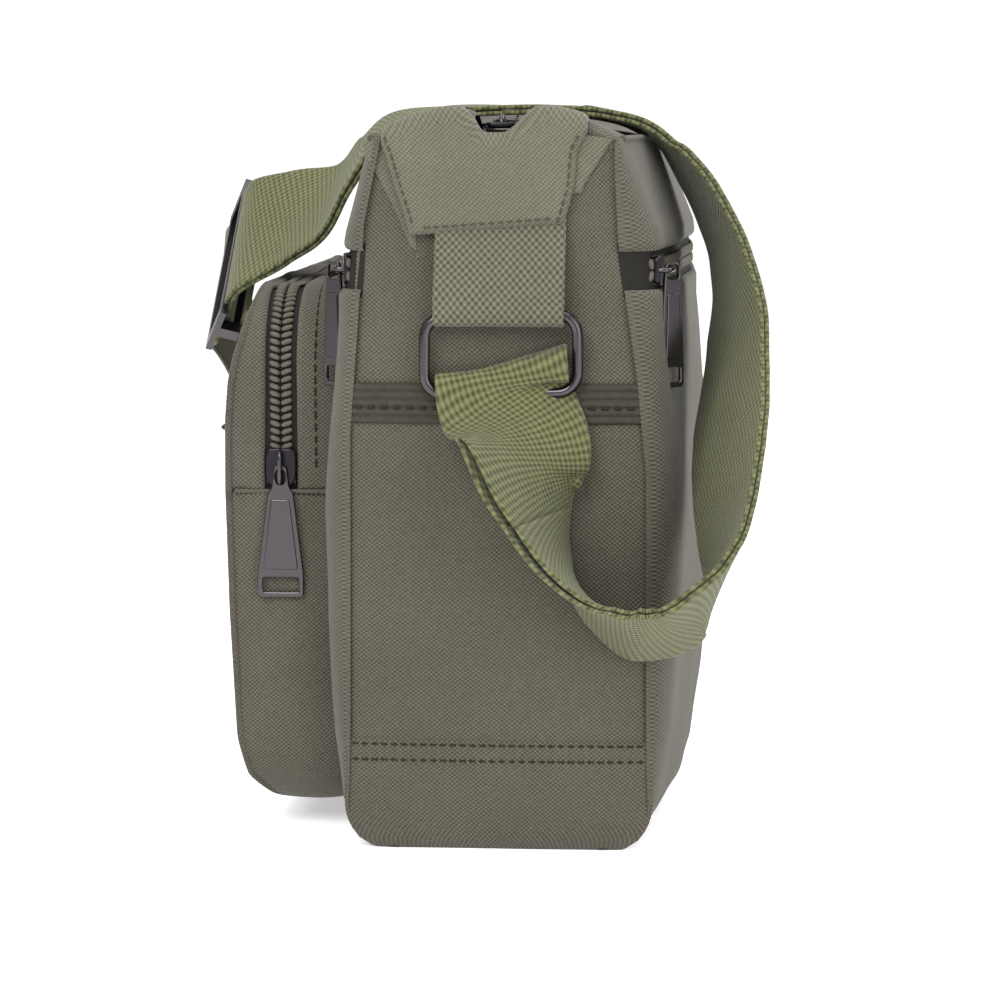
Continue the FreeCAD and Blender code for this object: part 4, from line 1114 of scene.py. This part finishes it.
def rounded(points, radius=0.8, count=4):
    """Softens the corners of a closed outline."""
    points = [np.array(p, float) for p in points]
    loop = []
    for i, p in enumerate(points):
        a, b = points[i - 1], points[(i + 1) % len(points)]
        r = min(radius, np.linalg.norm(a - p) * 0.45, np.linalg.norm(b - p) * 0.45)
        start = p + (a - p) / np.linalg.norm(a - p) * r
        stop = p + (b - p) / np.linalg.norm(b - p) * r
        for t in np.linspace(0, 1, count):
            loop.append(tuple((1 - t) ** 2 * start + 2 * t * (1 - t) * p + t**2 * stop))
    return loop


def place_frame(ex, ey, ez, origin):
    """A local frame's axes, as rows, and its origin."""
    return np.array([ex, ey, ez], float), np.array(origin, float)


def zip_slider(name, frame_of, crown_height, body):
    """A slider: top plate, two cheeks and the bridge that holds the pull. Local x runs along the zipper."""
    half, tail = 4.1, 3.0
    right = [(-5, tail), (-2.5, half), (3.5, half), (5, 3.2)]
    outline = [(x, -y) for x, y in right] + right[::-1]
    top = plate(f"{name}_top", rounded(outline, 1.2), [], 1.5, 0.45, DARK_METAL, frame_of, body, 2.7)
    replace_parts(top, name)
    cheek = [(-4.6, -half), (4.2, -half), (4.2, 0.9 - half), (-4.6, 0.9 - half)]
    for side, label in ((1, "low"), (-1, "high")):
        edge = rounded([(x, y * side) for x, y in cheek], 0.3)
        plate(f"{name}_cheek_{label}", edge, [], 2.4, 0.25, DARK_METAL, frame_of, body, 1.4)
    axis = crown_height - 0.7
    rise = [(-4.2, 0, 2.6), (-4.2, 0, axis - 1.2), (-3.7, 0, axis - 0.3), (-2.8, 0, axis)]
    arch = rise + [(0, 0, axis + 0.05)] + [(-x, y, z) for x, y, z in reversed(rise)]
    axes, origin = frame_of
    path = np.array(arch) @ axes + origin
    tube(f"{name}_bridge", resample(path, 0.6), 0.68, GUNMETAL, body, around=12)


def zip_pull(name, frame_of, size, barrel, body):
    """A pull with an eye at its hinge, a raised plain panel and a window at its foot. Local x runs up it.
    A barrel pull has a narrow neck and an oval eye, and other pulls a wide square one."""
    reach, shoulder, foot = size
    neck, eye, top_end, eye_end = (2.3, 1.3, 0.5, -4.9) if barrel else (2.9, 2.0, 1.9, -2.6)
    right = [(top_end, neck - 0.6), (eye_end - 0.4, neck), (eye_end - 2.2, shoulder)]
    right += [(6.6 - reach, foot), (-reach, foot)]
    outline = rounded(right + [(a, -b) for a, b in reversed(right)], 1.3, 6)
    if barrel:
        angles = np.linspace(0, 2 * math.pi, 20, endpoint=False)
        hole = [(-2.5 + 2.1 * math.cos(a), 1.35 * math.sin(a)) for a in angles]
    else:
        hole = rounded([(top_end - 0.8, -eye), (top_end - 0.8, eye), (eye_end, eye), (eye_end, -eye)], 0.8)
    inner = foot - 1.3
    window = [(5.4 - reach, -inner), (5.4 - reach, inner), (1.5 - reach, inner), (1.5 - reach, -inner)]
    tab = plate(f"{name}_tab", outline, [hole, rounded(window, 0.6)], 1.15, 0.35, GUNMETAL, frame_of, body)
    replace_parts(tab, name)
    low, high = 7.6 - reach, eye_end - 3.6
    width = shoulder - 1.0
    panel = rounded([(high, -width), (high, width), (low, foot - 1.5), (low, 1.5 - foot)], 0.7)
    for side, label in ((1, "out"), (-1, "in")):
        plate(f"{name}_panel_{label}", panel, [], 0.7, 0.3, GUNMETAL, frame_of, body, side * 0.55)


def about_z(vector, degrees):
    """A direction turned about the upright axis."""
    a = math.radians(degrees)
    x, y, z = vector
    return (x * math.cos(a) - y * math.sin(a), x * math.sin(a) + y * math.cos(a), z)


SHORT, SLIM, LARGE = (26.0, 3.0, 4.0), (31.0, 3.0, 4.0), (35.0, 3.5, 6.2)  # reach, shoulder, foot
TALL_CROWN, LOW_CROWN = 6.5, 5.6
REST_X, REST_Y = 112.0, 38.6

TOP_TAPE = 184.8
TOP_RISE = 2.35  # how much higher the main zipper is where its slider rests
slope = math.asin(TOP_RISE / REST_X)
along = (math.cos(slope), 0, math.sin(slope))
lean = (-math.sin(slope), 0, math.cos(slope))
top_z = TOP_TAPE + TOP_RISE + 0.7
top_slider_frame = place_frame(along, (0, 1, 0), lean, (REST_X, 0, top_z))
top_pull_frame = place_frame(along, (0, 1, 0), lean, (REST_X, 0, top_z + 3.8))
zip_slider("top_slider", top_slider_frame, LOW_CROWN, "top_slider_body")
zip_pull("top_pull", top_pull_frame, SHORT, True, "top_pull_body")

WALL_RADIUS = 829.6  # of a wall zipper's curve, seen from above
HINGE_OUT = 5.95  # from a wall slider's middle out to its pull's hinge
TWIST = 50.0
rest_turn = math.degrees(math.asin(REST_X / WALL_RADIUS))
for side, label in WALLS:
    turn = -side * rest_turn
    axes = [about_z(v, turn) for v in ((1, 0, 0), (0, 0, -side), (0, side, 0))]
    slider_frame = place_frame(*axes, (REST_X, REST_Y * side, SLIT_Z))
    zip_slider(f"{label}_slider", slider_frame, TALL_CROWN, f"{label}_slider_body")
    hang = [about_z(v, turn + TWIST * side) for v in ((0, 0, 1), (0, -1, 0), (1, 0, 0))]
    spot = (REST_X + HINGE_OUT * REST_X / WALL_RADIUS, (REST_Y + HINGE_OUT * 0.991) * side, SLIT_Z)
    zip_pull(f"{label}_pull", place_frame(*hang, spot), SLIM, False, f"{label}_pull_body")

facing = [(1, 0, 0), (0, 0, 1), (0, -1, 0)]
zip_slider("face_slider", place_frame(*facing, (80, -73, FACE_ZIP)), TALL_CROWN, "face_slider_body")
zip_pull("face_pull", place_frame(*facing, (80, -77.4, FACE_ZIP)), SLIM, True, "face_pull_body")
standing = [(0, 0, 1), (0, -1, 0), (1, 0, 0)]
zip_slider("pocket_slider", place_frame(*standing, (102.2, ZIP_Y, 99.5)), TALL_CROWN, "pocket_slider_body")
zip_pull("pocket_pull", place_frame(*standing, (106.6, ZIP_Y, 99.5)), LARGE, True, "pocket_pull_body")


# ---- camera, light and floor ----------------------------------------------------------------


def look_at(thing, target):
    thing.rotation_euler = (Vector(target) - thing.location).to_track_quat("-Z", "Y").to_euler()


def area_light(name, place, target, size, power):
    data = bpy.data.lights.new(name, "AREA")
    data.shape = "RECTANGLE"
    data.size, data.size_y = size
    data.energy = power
    lamp = bpy.data.objects.new(name, data)
    lamp.location = place
    bpy.context.scene.collection.objects.link(lamp)
    look_at(lamp, target)


camera_data = bpy.data.cameras.new("camera")
camera_data.angle = math.radians(16.56)
camera = bpy.data.objects.new("camera", camera_data)
camera.location = (1.0140, 0.0624, 0.1949)
bpy.context.scene.collection.objects.link(camera)
look_at(camera, (0.122, 0.0, 0.093))
bpy.context.scene.camera = camera

area_light("key", (1.3, -0.5, 1.1), (0.1, 0, 0.1), (0.9, 0.9), 22)
area_light("fill", (1.2, 0.9, 0.5), (0.1, 0, 0.1), (0.9, 0.9), 9)
area_light("top", (0.0, 0.0, 1.4), (0.0, 0, 0.1), (1.4, 1.4), 14)
area_light("rim", (-0.7, 1.1, 0.9), (0, 0, 0.1), (0.8, 0.8), 10)

AMBIENT_BELOW, AMBIENT_ABOVE, BACKDROP = 0.36, 0.86, 1.05
world = bpy.data.worlds.new("studio")
world.use_nodes = True
tree = world.node_tree
ambient = tree.nodes["Background"]
backdrop = tree.nodes.new("ShaderNodeBackground")
backdrop.inputs["Strength"].default_value = BACKDROP
for background in (ambient, backdrop):
    background.inputs["Color"].default_value = (1, 1, 1, 1)
heading = tree.nodes.new("ShaderNodeTexCoord")
split = tree.nodes.new("ShaderNodeSeparateXYZ")
rise = tree.nodes.new("ShaderNodeMapRange")
rise.inputs["To Min"].default_value = AMBIENT_BELOW
rise.inputs["To Max"].default_value = AMBIENT_ABOVE
seen = tree.nodes.new("ShaderNodeLightPath")
either = tree.nodes.new("ShaderNodeMixShader")
for source, target in (
    (heading.outputs["Generated"], split.inputs[0]),
    (split.outputs["Z"], rise.inputs["Value"]),
    (rise.outputs[0], ambient.inputs["Strength"]),
    (seen.outputs["Is Camera Ray"], either.inputs[0]),
    (ambient.outputs[0], either.inputs[1]),
    (backdrop.outputs[0], either.inputs[2]),
    (either.outputs[0], tree.nodes["World Output"].inputs["Surface"]),
):
    tree.links.new(source, target)
bpy.context.scene.world = world

floor_mesh = bpy.data.meshes.new("floor")
floor_mesh.from_pydata([(-6, -6, 0), (6, -6, 0), (6, 6, 0), (-6, 6, 0)], [], [(0, 1, 2, 3)])
floor_nodes = Nodes("floor")
floor_nodes.shader.inputs["Base Color"].default_value = (0.86, 0.86, 0.86, 1)
floor_nodes.shader.inputs["Roughness"].default_value = 0.9
floor_nodes.shader.inputs["Emission Color"].default_value = (1, 1, 1, 1)
floor_nodes.shader.inputs["Emission Strength"].default_value = 0.45
floor_mesh.materials.append(floor_nodes.material)
floor = bpy.data.objects.new("floor", floor_mesh)
floor.location = (0, 0, -0.0002)
bpy.context.scene.collection.objects.link(floor)
bpy.context.scene.view_settings.view_transform = "Standard"
